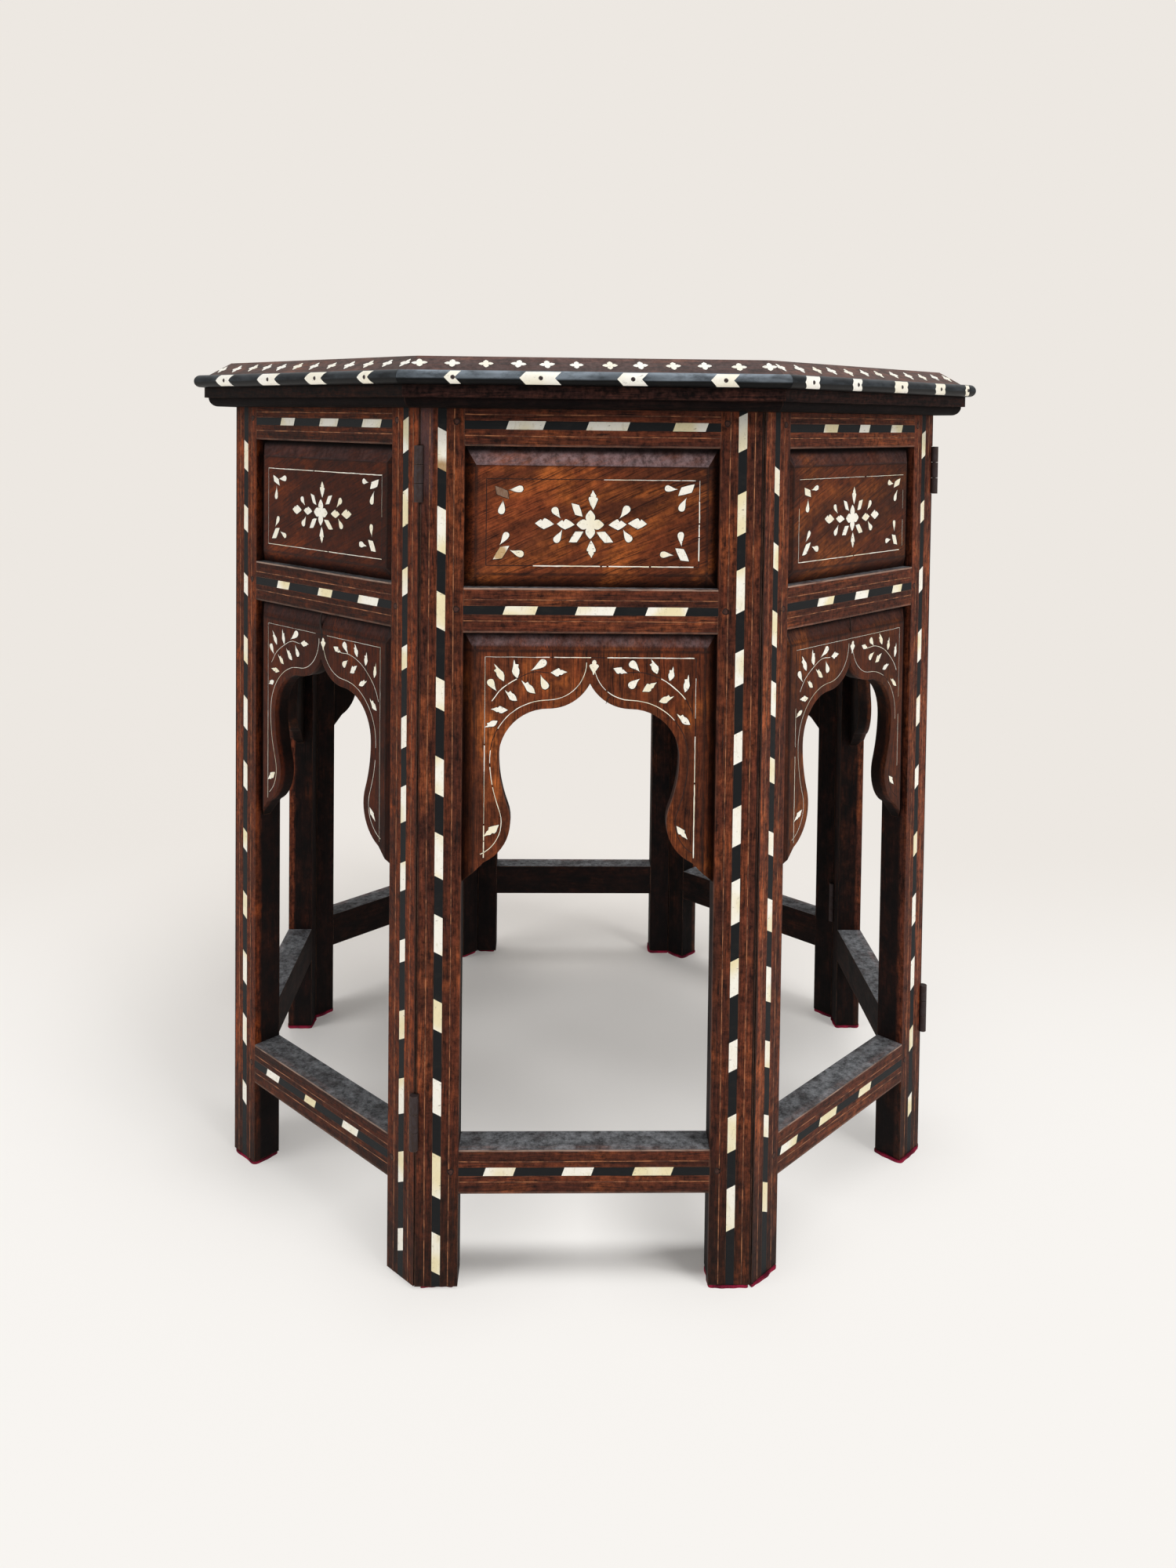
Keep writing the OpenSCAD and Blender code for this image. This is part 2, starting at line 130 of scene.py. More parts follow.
def makePiece(name, body, material, parts, place):  # one mesh of several closed parts, put in place
    faces, start = [], 0
    for verts, partFaces in parts:
        faces += [[start + i for i in face] for face in partFaces]
        start += len(verts)
    mesh = bpy.data.meshes.new(name)
    mesh.from_pydata(place(np.concatenate([verts for verts, _ in parts])).tolist(), [], faces)
    mesh.materials.append(material)
    mesh.validate()
    mesh.update()
    piece = bpy.data.objects.new(name, mesh)
    scene.collection.objects.link(piece)
    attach(piece, body)
    return piece


# Shader wiring
def linear(code):  # a colour written as an sRGB hex code
    parts = [int(code[i:i + 2], 16) / 255 for i in (0, 2, 4)]
    return tuple(p / 12.92 if p < 0.04045 else ((p + 0.055) / 1.055) ** 2.4 for p in parts) + (1,)


def feed(tree, node, inputs):  # wires, values or hex codes into a node's sockets
    for name, value in inputs.items():
        if isinstance(value, Wire):
            tree.links.new(value.out, node.inputs[name])
        else:
            node.inputs[name].default_value = linear(value) if isinstance(value, str) else value


class Wire:  # one output socket; arithmetic on it adds Math nodes
    def __init__(self, tree, out=None):
        self.tree, self.out = tree, out

    def node(self, kind, settings, inputs, output=0):  # any node: its settings first, then its sockets
        made = self.tree.nodes.new("ShaderNode" + kind)
        for name, value in settings.items():
            setattr(made, name, value)
        feed(self.tree, made, inputs)
        return Wire(self.tree, made.outputs[output])

    def maths(self, operation, *values):  # a Math node's result
        return self.node("Math", {"operation": operation}, dict(enumerate(values)))

    def __add__(self, other):
        return self.maths("ADD", self, other)

    __radd__ = __add__

    def __sub__(self, other):
        return self.maths("SUBTRACT", self, other)

    def __rsub__(self, other):
        return self.maths("SUBTRACT", other, self)

    def __mul__(self, other):
        return self.maths("MULTIPLY", self, other)

    __rmul__ = __mul__

    def __truediv__(self, other):
        return self.maths("DIVIDE", self, other)

    def __abs__(self):
        return self.maths("ABSOLUTE", self)

    def equals(self, value, within=0.5):  # 1 where the wire is within that of the value, else 0
        return self.maths("COMPARE", self, value, within)

    def rise(self, low, high, a=0.0, b=1.0):  # smoothly from a to b as the value goes from low to high
        return self.node("MapRange", {"interpolation_type": "SMOOTHSTEP"},
                         {"Value": self, "From Min": low, "From Max": high, "To Min": a, "To Max": b})

    def fall(self, low, high):  # smoothly from 1 to 0
        return self.rise(low, high, 1, 0)

    def scale(self, colour):  # the colour's three parts times this value
        colour = linear(colour)[:3] if isinstance(colour, str) else colour
        return self.node("VectorMath", {"operation": "SCALE"}, {0: colour, "Scale": self})

    def split(self, vector):  # its three parts
        outs = self.node("SeparateXYZ", {}, {0: vector}).out.node.outputs
        return [Wire(self.tree, out) for out in outs]

    def vector(self, *parts):
        return self.node("CombineXYZ", {}, dict(enumerate(parts)))

    def noise(self, at, detail=2, rough=0.5, twist=0, scale=1):  # at: a vector, or its three parts
        if isinstance(at, tuple):
            at = self.vector(*at)
        return self.node("TexNoise", {}, {"Vector": at, "Scale": scale, "Detail": detail,
                                          "Roughness": rough, "Distortion": twist})

    def blend(self, a, b, kind="MIX"):  # the wire is the share of b
        return self.node("Mix", {"data_type": "RGBA", "blend_type": kind}, {0: self, 6: a, 7: b}, 2)


def layered(colour, *layers):  # tones laid one over another, each with its share
    for share, tone in layers:
        colour = share.blend(colour, tone)
    return colour


def makeMaterial(name, surface, *values):  # surface: the function that works out the shader's sockets
    material = bpy.data.materials.new(name)
    material.use_nodes = True
    tree = material.node_tree
    tree.nodes.clear()
    shader = tree.nodes.new("ShaderNodeBsdfPrincipled")
    output = tree.nodes.new("ShaderNodeOutputMaterial")
    tree.links.new(shader.outputs[0], output.inputs[0])
    feed(tree, shader, surface(Wire(tree), *values))
    return material


def sockets(colour, roughness, shine, **more):  # the shader's sockets by their names
    return {"Base Color": colour, "Roughness": roughness, "Specular IOR Level": shine, **more}


def bumped(w, height, strength, distance, **more):  # a bump; distance in metres
    return w.node("Bump", {}, {"Strength": strength, "Distance": distance, "Height": height, **more})


def octagonPlace(w):  # Object coordinates turned back by whole eighths, so every panel becomes the front
    x, y, up = w.split(w.node("TexCoord", {}, {}, "Object"))
    number = w.maths("MODULO", w.maths("ROUND", w.maths("ARCTAN2", x, 0 - y) / eighth) + 8, 8)
    sides = w.maths("MINIMUM", number, 1)  # 0 on the front panel, 1 on the others
    c, s = w.maths("COSINE", number * eighth), w.maths("SINE", number * eighth)
    return SimpleNamespace(x=x * c + y * s, behind=panel["reach"] * mm - (x * s - y * c), up=up,
                           c=c, s=s, number=number, sides=sides)


def facing(w, at):  # how far the surface looks out of its panel, and how far up
    x, y, z = w.split(w.node("TexCoord", {}, {}, "Normal"))
    return x * at.s - y * at.c, z


def roundedEdge(w, radius):  # the normal as it would be if edges had this radius, in metres
    return w.node("Bevel", {"samples": 3}, {"Radius": radius})


def edgeWearAndHighlight(w, rounded):  # 0 on flats, 1 where an outer edge turns: worn edges, with a painted highlight
    true = w.node("NewGeometry", {}, {}, "True Normal")
    along = w.node("VectorMath", {"operation": "DOT_PRODUCT"}, {0: rounded, 1: true}, 1)
    return (1 - along).rise(0.01, 0.22)


def crevice(w, reach):  # 1 in corners and recesses, 0 in the open: ambient occlusion, used to paint shade there
    return (1 - w.node("AmbientOcclusion", {"samples": 4}, {"Distance": reach}, 1)).rise(0.3, 0.9)


# Places on a panel in metres, from its middle or above the floor: where a change of colour starts and ends
marks = {
    "split": (0.4070, 0.4075),  # behind the middle rail, between the raised board and the arch board
    "paler": (0.0915, 0.0955), "mitre": (0.0988, 0.1004), "gape": (0.0989, 0.0996),  # stiles, across
    "foot": (0.045, 0.165),
    "hinge": (-0.0945, -0.0925), "hingeUp": (0.478, 0.500),  # crazed lacquer above the left hinge
    "line": (0.0003, 0.0013), "bevelX": 0.068, "bevelUp": (0.493, 0.429, 0.3835),  # where the bevels start
    "ends": (0.060, 0.0745), "underTop": (0.488, 0.503),  # the boards' rims of painted shade
    # more rims of painted shade; where the lower bevels' dust and painted sheen starts
    "overMiddle": (0.4211, 0.4335), "underMiddle": (0.3755, 0.392), "lowDustAndSheen": (0.3855, 0.3875),
    "shadeTop": (0.4988, 0.5022), "shadeMiddle": (0.3900, 0.3936),  # painted shade, nearly black, right under the rails
    "backs": (0.003, 0.006),  # how far the polish turns round an edge
    "rubbedAndLit": (0.0002, 0.0008), "railEnds": (0.0745, 0.0752),  # off an arris, and where it meets the stiles
    # the bone: whiter on the top, and painted shade under it
    "whiterOnTop": (0.530, 0.535), "underTopShadeFrom": (0.495, 0.512), "underTopShadeTo": (0.527, 0.530),
}
rubbedLitArrises = {  # rubbed edges of the rails with a painted highlight: height in metres, and share, more for the upper ones, which face the light
    0.5046: 0.2, 0.4205: 1.0, 0.3951: 0.25, 0.0845: 1.0, 0.0591: 0.25,
}


def grainPlace(grain, at):  # across the grain and along it, shifted from panel to panel
    x, up, shift = at.x, at.up, at.number * 3.7
    if grain == "upright":
        return x + shift, up + shift
    if grain == "level":
        return up + shift, x + shift
    slant = math.radians(24)  # boards: slanting above the middle rail, upright below it
    c, s = math.cos(slant), math.sin(slant)
    return x + (up * c - x * s - x) * at.upper + shift, up + (x * c + up * s - up) * at.upper + shift


def woodNoises(w, look):  # the place on the panel and the noises that every wood shares
    at = octagonPlace(w)
    at.out, at.upward = facing(w, at)
    at.upper = at.up.rise(*marks["split"])
    across, along = grainPlace(look["grain"], at)
    x, behind, up, number, band = at.x, at.behind, at.up, at.number, look["band"]
    bend = w.noise((across * 9, behind * 9, along * 2.5))
    at.broad = w.noise((across * band + bend * 2.2, behind * band, along * 4 + bend), 4, 0.62)
    at.fine = w.noise((across * 800 + bend * 30, behind * 300, along * 18), 3, 0.6)
    at.pores = w.noise((across * 1700 + bend * 60, behind * 900, along * 70), 1)
    at.mottle = w.noise((across * 34, behind * 30, along * 20), 4, 0.6, 0.7)
    at.patch = w.noise((across * 75, behind * 60, along * 50), 4, 0.65)
    at.stain = w.noise((x * 19 + number * 5, behind * 17, up * 15), 5, 0.7)
    at.ticks = w.noise((across * 90, behind * 60, along * 1100))
    at.flecks = w.noise((x * 260 + number, behind * 260, up * 230), 4, 0.75)
    at.streaks = w.noise((across * 430 + bend * 14, behind * 300, along * 42), 4, 0.7)
    return at


def grainColour(w, at, look):  # tones over one another, by their noises, then made uneven
    colour = layered(
        at.broad.rise(0.36, 0.66).blend(look["dark"], look["mid"]),
        (at.mottle.rise(0.45, 0.72) * look["glow"], look["light"]),
        (at.fine.rise(0.42, 0.66) * 0.75, look["streak"]),
        (at.pores.rise(0.56, 0.68) * 0.75, look["pore"]),
        (at.ticks.rise(0.55, 0.75) * look["ticks"], look["pore"]),
        (at.stain.rise(0.5, 0.72) * look["stain"], look["pore"]))
    uneven = w.maths("MAXIMUM", ((at.flecks - 0.5) + (at.streaks - 0.5) * 0.8) * look["fleck"] + 1, 0.25)
    frontLeft = at.number.equals(7)  # this panel is browner and darker
    # painted light on the stiles, and painted shade on the moulding, of the panels but the front
    colour = (uneven * (at.sides * look["sunned"] + 1) * (1 - frontLeft * look["dim"])).scale(colour)
    return frontLeft.blend(colour, look["leftTint"], "MULTIPLY")


def mitreDirt(w, at, look, colour):  # dirt along the mitres and on the lowest part of the legs
    x, number = abs(at.x), at.number
    loose = number.equals(0) * w.maths("GREATER_THAN", at.x, 0)
    loose = loose + number.equals(1) * w.maths("LESS_THAN", at.x, 0)  # the corner that gapes
    joint = x.rise(*marks["mitre"]) * at.patch.rise(0.3, 0.5, 0.6, 1)
    joint = w.maths("MAXIMUM", joint, loose * x.rise(*marks["gape"]))
    foot = (at.up + at.stain * 0.07).fall(*marks["foot"]) * at.patch.rise(0.3, 0.6, 0.6, 1)
    crazed = at.x.fall(*marks["hinge"]) * (at.up + at.patch * 0.03).rise(*marks["hingeUp"]) * (1 - at.sides)
    place = w.vector(at.x * 620, at.behind * 620, at.up * 520)
    scales = w.node("TexVoronoi", {"feature": "DISTANCE_TO_EDGE"}, {"Vector": place})
    return layered(
        x.rise(*marks["paler"], 1, 1.32).scale(colour),
        (w.maths("MAXIMUM", joint, foot * 0.95) * look["mitre"], "160e0b"),
        (crazed * scales.rise(0.02, 0.12) * 0.75, "5a4648"),
        (crazed * scales.fall(0, 0.06) * 0.7, "140c0b"))


def boardShade(w, at, look, colour):  # the front's boards have faded; all darken towards the right, have dark lines where the bevels start, and painted shade along their rims
    x, up = abs(at.x), at.up
    colour = (at.sides * look["aged"] * (at.stain * 0.5 + 0.75)).blend(colour, "28130d")
    bevel = abs(x - marks["bevelX"]).fall(*marks["line"])
    for height in marks["bevelUp"]:
        bevel = w.maths("MAXIMUM", bevel, abs(up - height).fall(*marks["line"]))
    # painted shade under the top rail, around the middle rail and beside the stiles
    under = up.rise(*marks["underTop"]) + up.fall(*marks["overMiddle"]) * at.upper
    under = under + up.rise(*marks["underMiddle"]) * (1 - at.upper)
    rim = w.maths("MINIMUM", x.rise(*marks["ends"]) * 0.8 + under * 0.75, 1)
    return layered(
        (1 - at.x * 3.6).scale(colour), (bevel * at.patch.rise(0.3, 0.55, 0.2, 0.7), "170c09"),
        (rim * at.patch.rise(0.3, 0.65, 0.35, 0.95) * look["rim"], "1e1211"))


def dustAndSkySheen(w, at, look, colour):  # dust and a painted sheen of the sky on what faces up, in patches; on the boards, painted shade under the rails
    dust = at.upward.rise(0.08, 0.6) * at.patch.rise(0.32, 0.6, 0.45, 1) * at.flecks.rise(0.3, 0.6, 0.7, 1)
    dust = dust * look["dust"]
    if look["rim"]:  # less of it on the lower bevels and on the panels at the sides
        low = (1 - at.upper) * at.up.rise(*marks["lowDustAndSheen"]) * 0.55
        dust = dust * (at.upper + low) * (1 - at.sides * 0.85)
    grey = w.maths("MAXIMUM", (at.flecks - 0.5) * 3 + 1, 0.3).scale(look["dustColour"])
    colour = dust.blend(colour, grey)
    if look["rim"]:
        # painted shade: right under the rails the boards are nearly black
        shade = at.up.rise(*marks["shadeTop"]) + at.up.rise(*marks["shadeMiddle"]) * (1 - at.upper)
        colour = (shade * 0.88).blend(colour, "0a0606")
    return colour


def woodSurface(w, look):  # grain, and over it dirt at joints and feet, painted shade with grime in recesses, unpolished backs with painted shade, worn edges with a painted highlight, dust with a painted sheen, and rubbed arrises with a painted highlight
    at = woodNoises(w, look)
    patch, fine = at.patch, at.fine
    rounded = roundedEdge(w, patch.rise(0.3, 0.7, 0.4, 1.9) * (look["edge"] * mm))
    grime = crevice(w, look["grimeReach"] * mm) * (patch * 0.7 + 0.5)
    colour = grainColour(w, at, look)
    if look["mitre"]:
        colour = mitreDirt(w, at, look, colour)
    if look["rim"]:
        colour = boardShade(w, at, look, colour)
    # painted shade, with some grime, in corners and recesses
    colour = (grime * look["grime"]).blend(colour, "0d0807")
    unpolishedShadedMask = at.out.fall(0.25, 0.62)  # sides and backs, never polished, with painted shade
    if look["under"]:  # the moulding below the fascia stays dark: stained, and painted shade under the top
        unpolishedShadedMask = w.maths("MAXIMUM", unpolishedShadedMask, at.up.fall(look["under"] - mm, look["under"]))
    else:  # the polish turns a little way round the edges
        unpolishedShadedMask = unpolishedShadedMask * at.behind.rise(*marks["backs"])
    raw = (1 - at.number.equals(2.5, 0.6) * 0.5).scale(look["rawColour"])  # painted shade: darker on the right and back-right panels
    colour = layered(colour, (unpolishedShadedMask * look["raw"] * patch.rise(0.25, 0.7, 0.8, 1), raw),
                     # worn edges, lighter, with a painted highlight
                     (edgeWearAndHighlight(w, rounded) * patch.rise(0.35, 0.6) * look["wear"], look["worn"]))
    colour = dustAndSkySheen(w, at, look, colour)
    if look["arris"]:
        # rubbed arrises with a painted highlight
        line = sum(abs(at.up - height).fall(*marks["rubbedAndLit"]) * share for height, share in rubbedLitArrises.items())
        line = line * at.out.rise(0.3, 0.8) * abs(at.x).fall(*marks["railEnds"])
        line = line * at.streaks.rise(0.35, 0.6, 0.25, 0.95) * look["arris"]
        colour = line.blend(colour, "b39a8a")
    rough = look["rough"] + patch * 0.2 + grime * 0.2 + unpolishedShadedMask * 0.2 - fine * 0.05
    height = fine * 0.3 - at.pores.rise(0.56, 0.7) * 0.4 + patch * 1.2 + at.stain * 0.9
    height = height - at.ticks.rise(0.6, 0.75) * look["ticks"]
    normal = bumped(w, height, look["bump"], 0.7 * mm, Normal=rounded)
    return sockets(colour, rough, look["shine"], Normal=normal)


anyWood = {  # what the woods share: grain's way, its bands, tones, and how much there is of each mark
    "grain": "level", "band": 110, "pore": "180c0a", "glow": 0.6, "ticks": 0.1, "stain": 0.45, "fleck": 4.0,
    "rough": 0.5, "shine": 0.12, "bump": 0.35, "edge": 0.8, "wear": 0.5, "grime": 0.8, "grimeReach": 6,
    "raw": 1.0, "rawColour": "110d0d",  # sides and backs: unpolished, with painted shade
    "mitre": 0, "rim": 0, "arris": 0, "aged": 0,
    "under": 0,  # height below which all is dark, in metres: stained, and painted shade under the top
    "sunned": 0.0, "dim": 0, "leftTint": (1.0, 0.83, 0.56, 1),  # painted light and shade on the panels but the front; the front-left one
}
woods = {
    "stileWood": {
        "grain": "upright", "dark": "371a12", "mid": "5d2c1a", "light": "8b4724", "streak": "402014",
        "worn": "86604c", "wear": 0.55, "bump": 0.4, "dust": 0.6, "dustColour": "56524f", "ticks": 0.25,
        "fleck": 4.2, "sunned": 0.4, "mitre": 0.9, "dim": 0.08},
    "railWood": {
        "dark": "391b12", "mid": "602e1b", "light": "8f4b26", "streak": "432115", "worn": "8a6450",
        "wear": 0.6, "bump": 0.4, "dust": 0.88, "dustColour": "7b7d80", "ticks": 0.15, "shine": 0.13,
        "arris": 0.75, "dim": 0.44},
    "boardWood": {
        "grain": "slant", "band": 70, "dark": "4b2514", "mid": "79391c", "light": "ae5e28",
        "streak": "562b17", "pore": "241009", "worn": "8a5a3c", "glow": 0.8, "grime": 0.85,
        "grimeReach": 9, "wear": 0.3,
        "stain": 0.35, "edge": 0.7, "rim": 0.85, "raw": 0.98, "rawColour": "0b0706", "dust": 0.75,
        "dustColour": "927d80", "ticks": 0.2, "aged": 0.5, "fleck": 2.4, "dim": 0.36,
        "leftTint": (1.0, 0.7, 0.36, 1)},
    "topWood": {
        "band": 60, "dark": "3a1d16", "mid": "5c2e20", "light": "80482e", "streak": "43221a",
        "pore": "1a0d0b", "worn": "7c5644", "grime": 0.5, "grimeReach": 5, "wear": 0.4, "rough": 0.42,
        "edge": 0.6, "raw": 0.0, "dust": 0.25, "dustColour": "6b6360", "shine": 0.25, "fleck": 2.8},
    "apronWood": {
        "band": 90, "dark": "1d100e", "mid": "2e1813", "light": "44241a", "streak": "23120f",
        "pore": "120908", "worn": "553a30", "glow": 0.5, "stain": 0.5, "raw": 0.95, "rawColour": "0a0606",
        "dust": 0.3, "dustColour": "4a4644", "shine": 0.08, "under": 0.5325, "fleck": 6.0, "sunned": -0.4,
        "dim": 0.42},
}
stained = [  # brown bone of the front: x and z on the panel, reach, colour
    {"at": (-53, 477), "reach": (4.5, 7.5), "colour": "663a14"},
    {"at": (-54, 441.5), "reach": (3, 6), "colour": "b8935c"},
    {"at": (-88, 488), "reach": (5, 11), "colour": "a07a48"},
]


def boneSurface(w):  # ivory to yellow from piece to piece, with fine lines, cracks and the stained pieces
    at = octagonPlace(w)
    x, behind, up, number = at.x, at.behind, at.up, at.number
    piece = w.noise((x * 42 + number * 3, behind * 10, up * 36), 1)
    lines = w.noise((x * 800, behind * 200, up * 260), 3, 0.6, 0.8)
    cracks = w.noise((x * 240, behind * 60, up * 620 + number), 4, 0.7)
    yellow = piece.rise(0.44, 0.66) * behind.rise(0.8 * mm, 1.2 * mm, 1, 0.55)  # less so on the boards
    colour = layered("f4f0e4", (yellow, "e9dcb2"), (lines.rise(0.52, 0.75) * 0.4, "bfae85"),
                     (cracks.rise(0.61, 0.69) * 0.8, "5a4630"))
    for spot in stained:
        dx, dz = x - spot["at"][0] * mm, up - spot["at"][1] * mm
        near, far = spot["reach"]
        share = w.maths("SQRT", dx * dx + dz * dz).fall(near * mm, far * mm) * (1 - at.sides)
        colour = (share * (lines * 0.3 + 0.75)).blend(colour, spot["colour"])
    colour = (up.rise(*marks["whiterOnTop"]) * 0.6).blend(colour, "f3f1ea")  # on the top
    underTopShade = up.rise(*marks["underTopShadeFrom"]) * up.fall(*marks["underTopShadeTo"])  # painted shade under it
    colour = (1 - underTopShade * 0.28).scale(colour)
    normal = bumped(w, lines * 0.4 - cracks.rise(0.62, 0.72), 0.3, 0.3 * mm)
    return sockets(colour, 0.42 + lines * 0.15, 0.35, Normal=normal)


def ebonySurface(w, code, roughness, shine, sheen):  # black with scuffs; sheen: how strong the painted highlight on its upper half is
    at = octagonPlace(w)
    x, behind, up = at.x, at.behind, at.up
    upward = facing(w, at)[1]
    fine = w.noise((x * 60, behind * 300, up * 900), 3, 0.65)
    scuffs = w.noise((x * 60 + at.number, behind * 70, up * 150), 5, 0.7)
    colour = (scuffs.rise(0.5, 0.72) * 0.45).blend(code, "25221f")
    lit = upward.rise(-0.3, 0.02) * 0.62 + upward.rise(0.35, 0.9) * 0.38  # painted highlight on the upper half of the moulding
    lit = lit * (1 - at.sides * 0.8)  # the front's most of all
    lit = lit * w.noise((x * 17, behind * 5, up * 90), 3, 0.6).rise(0.36, 0.6, 0.5, 1.1)
    lit = lit * upward.fall(0.97, 1.0) * sheen * scuffs.rise(0.3, 0.6, 0.35, 1.05)
    # the blue-grey painted highlight
    colour = lit.blend(colour, "8e99a3")
    normal = bumped(w, fine * 0.6 + scuffs, 0.3, 0.4 * mm, Normal=roundedEdge(w, 0.4 * mm))
    return sockets(colour, roughness + scuffs * 0.2, shine, Normal=normal)


def ironSurface(w):  # rust in patches, painted shade in corners, rubbed at the edges with a painted highlight
    at = octagonPlace(w)
    rust = w.noise((at.x * 260, at.behind * 260, at.up * 200), 5, 0.7)
    colour = rust.rise(0.42, 0.66).blend("443a3a", "33231c")
    # painted shade in corners
    colour = (crevice(w, 4 * mm) * 0.95).blend(colour, "080606")
    rounded = roundedEdge(w, 0.6 * mm)
    # rubbed edges, with a painted highlight
    colour = (edgeWearAndHighlight(w, rounded) * rust.rise(0.3, 0.6) * 0.7).blend(colour, "7c6a60")
    return sockets(colour, 0.5 + rust * 0.3, 0.3, Metallic=rust.rise(0.5, 0.62, 0.6, 0.1),
                   Normal=bumped(w, rust, 0.5, 0.4 * mm, Normal=rounded))


def feltSurface(w):  # faded red in patches, with pale fuzz
    place = w.node("TexCoord", {}, {}, "Object")
    fuzz = w.noise(place, 3, 0.7, scale=1800)
    colour = w.noise(place, 3, scale=120).rise(0.35, 0.65).blend("961f3c", "5c1528")
    colour = (fuzz.rise(0.5, 0.8) * 0.5).blend(colour, "c2566a")
    return sockets(colour, 0.95, 0.1, Normal=bumped(w, fuzz, 0.8, 0.6 * mm))


def plainSurface(w, code, spots, roughness, variation):  # one colour with spots of another
    patch = w.noise(w.node("TexCoord", {}, {}, "Object"), 4, 0.65, scale=110)
    colour = (patch.rise(0.38, 0.6) * variation).blend(code, spots)
    return sockets(colour, roughness + patch * 0.15, 0.25, Normal=bumped(w, patch, 0.3, 0.3 * mm))


wood = {name: makeMaterial(name, woodSurface, {**anyWood, **look}) for name, look in woods.items()}
bone = makeMaterial("bone", boneSurface)
ebony = makeMaterial("ebony", ebonySurface, "0f1113", 0.5, 0.2, 0)
lippingEbony = makeMaterial("lippingEbony", ebonySurface, "08090a", 0.32, 0.12, 0.95)
iron = makeMaterial("iron", ironSurface)
felt = makeMaterial("felt", feltSurface)
stringWood = makeMaterial("stringWood", plainSurface, "a56a45", "3a221b", 0.5, 0.9)
mastic = makeMaterial("mastic", plainSurface, "1a100d", "30201a", 0.7, 0.6)
pegWood = makeMaterial("pegWood", plainSurface, "49291f", "1c100d", 0.55, 0.6)
print("materials ready:", len(bpy.data.materials))

finishes = {
    "top_board": wood["topWood"], "apron_ring": wood["apronWood"], "top_lipping": lippingEbony,
    "top_bone_inlay": bone,
}
panelFinishes = {
    "_stiles": wood["stileWood"], "_rails": wood["railWood"], "_boards": wood["boardWood"],
    "_bone_inlay": bone, "_ebony_inlay": ebony, "_hinges": iron,
}
for name in panelNames:
    finishes.update({name + part: material for part, material in panelFinishes.items()})
for name, material in finishes.items():  # new finishes for the solids of the frame
    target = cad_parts[name]
    target.data.materials.clear()
    target.data.materials.append(material)
print("solids dressed")


# Inlay shapes: anticlockwise outlines whose stem end is the origin and whose tip lies at (length, 0)
cutShapes = {  # share of the length, share of the width
    "flame": [(0, 0), (0.1, -0.2), (0.26, -0.42), (0.42, -0.48), (0.55, -0.34), (0.68, -0.2), (0.84, -0.08),
              (1, 0.1), (0.86, 0.12), (0.75, 0.12), (0.7, 0.5), (0.56, 0.38), (0.4, 0.46), (0.22, 0.34),
              (0.08, 0.12)],
    "spade": [(0, 0), (0.16, -0.2), (0.32, -0.46), (0.45, -0.5), (0.53, -0.3), (0.66, -0.34), (0.8, -0.14),
              (1, 0), (0.82, 0.16), (0.68, 0.3), (0.6, 0.26), (0.5, 0.52), (0.38, 0.42), (0.18, 0.22)],
    "bud": [(0, -0.03), (0.22, -0.14), (0.42, -0.34), (0.6, -0.5), (0.7, -0.38), (0.73, -0.2),
            (0.86, -0.22), (0.97, -0.12), (1, 0.02), (0.95, 0.14), (0.84, 0.22), (0.73, 0.2), (0.7, 0.38),
            (0.6, 0.5), (0.42, 0.34), (0.22, 0.14), (0, 0.03)],
    "lozenge": [(0, 0), (0.2, -0.3), (0.36, -0.5), (0.7, -0.27),
                (1, 0), (0.8, 0.3), (0.64, 0.5), (0.3, 0.27)],
    "diamond": [(0, 0), (0.24, -0.26), (0.52, -0.5), (0.76, -0.3), (1, 0), (0.84, 0.22), (0.7, 0.4),
                (0.63, 0.24), (0.53, 0.5), (0.46, 0.5), (0.22, 0.28)],
    "leaf": [(0, 0), (0.24, -0.26), (0.52, -0.5), (0.6, -0.46), (0.63, -0.28), (0.7, -0.34), (0.86, -0.14),
             (1, 0.02), (0.86, 0.14), (0.74, 0.3), (0.67, 0.22), (0.64, 0.46), (0.54, 0.5), (0.24, 0.28)],
}


def roundSteps(n):  # n even angles round a circle
    return np.arange(n) * 2 * np.pi / n


def drop(length, width):  # half width: sine of t times a power of the falling half cosine; its tail curls
    t = roundSteps(20)
    r = width / 2
    x = (length + r) * (1 + np.cos(t)) / 2
    y = r * 1.62 * np.sin(t) * ((1 - np.cos(t)) / 2) ** 1.15
    curl = (np.clip(x - r, 0, None) / length) ** 2 * width * 0.3
    return np.stack([x - r, y + curl], 1)


def quatrefoil(size, spread=0.5, lobe=0.35, cusp=0.15):  # four circles about the middle, with small points
    t = roundSteps(48)
    off = (t + eighth) % (2 * eighth) - eighth
    r = spread * np.cos(off) + np.sqrt(np.maximum(lobe ** 2 - (spread * np.sin(off)) ** 2, 0.0025))
    r = size / 2 * (r + cusp * np.exp(-(off / 0.16) ** 2))
    return np.stack([r * np.cos(t), r * np.sin(t)], 1)


def cut(row, rng, play=1.0, longer=1.0, wider=1.0):  # one shape laid from stem to tip, a little unevenly
    shape, x0, z0, x1, z1, width, side = row
    short = np.array([x1 - x0, z1 - z0]) * (1 - longer) / 2
    stem = [x0, z0] + short + rng.uniform(-0.35, 0.35, 2) * play
    tip = [x1, z1] - short + rng.uniform(-0.35, 0.35, 2) * play
    way = tip - stem
    length = np.hypot(*way)
    width = width * wider * (1 + rng.uniform(-0.08, 0.08) * play)
    if shape == "drop":
        outline = drop(length, width)
    else:
        outline = np.array(cutShapes[shape], float) * [length, width]
    if side < 0:
        outline = (outline * [1, -1])[::-1]
    outline = outline + rng.normal(0, 0.06 * play, outline.shape)
    return turned(outline, math.atan2(way[1], way[0])) + stem


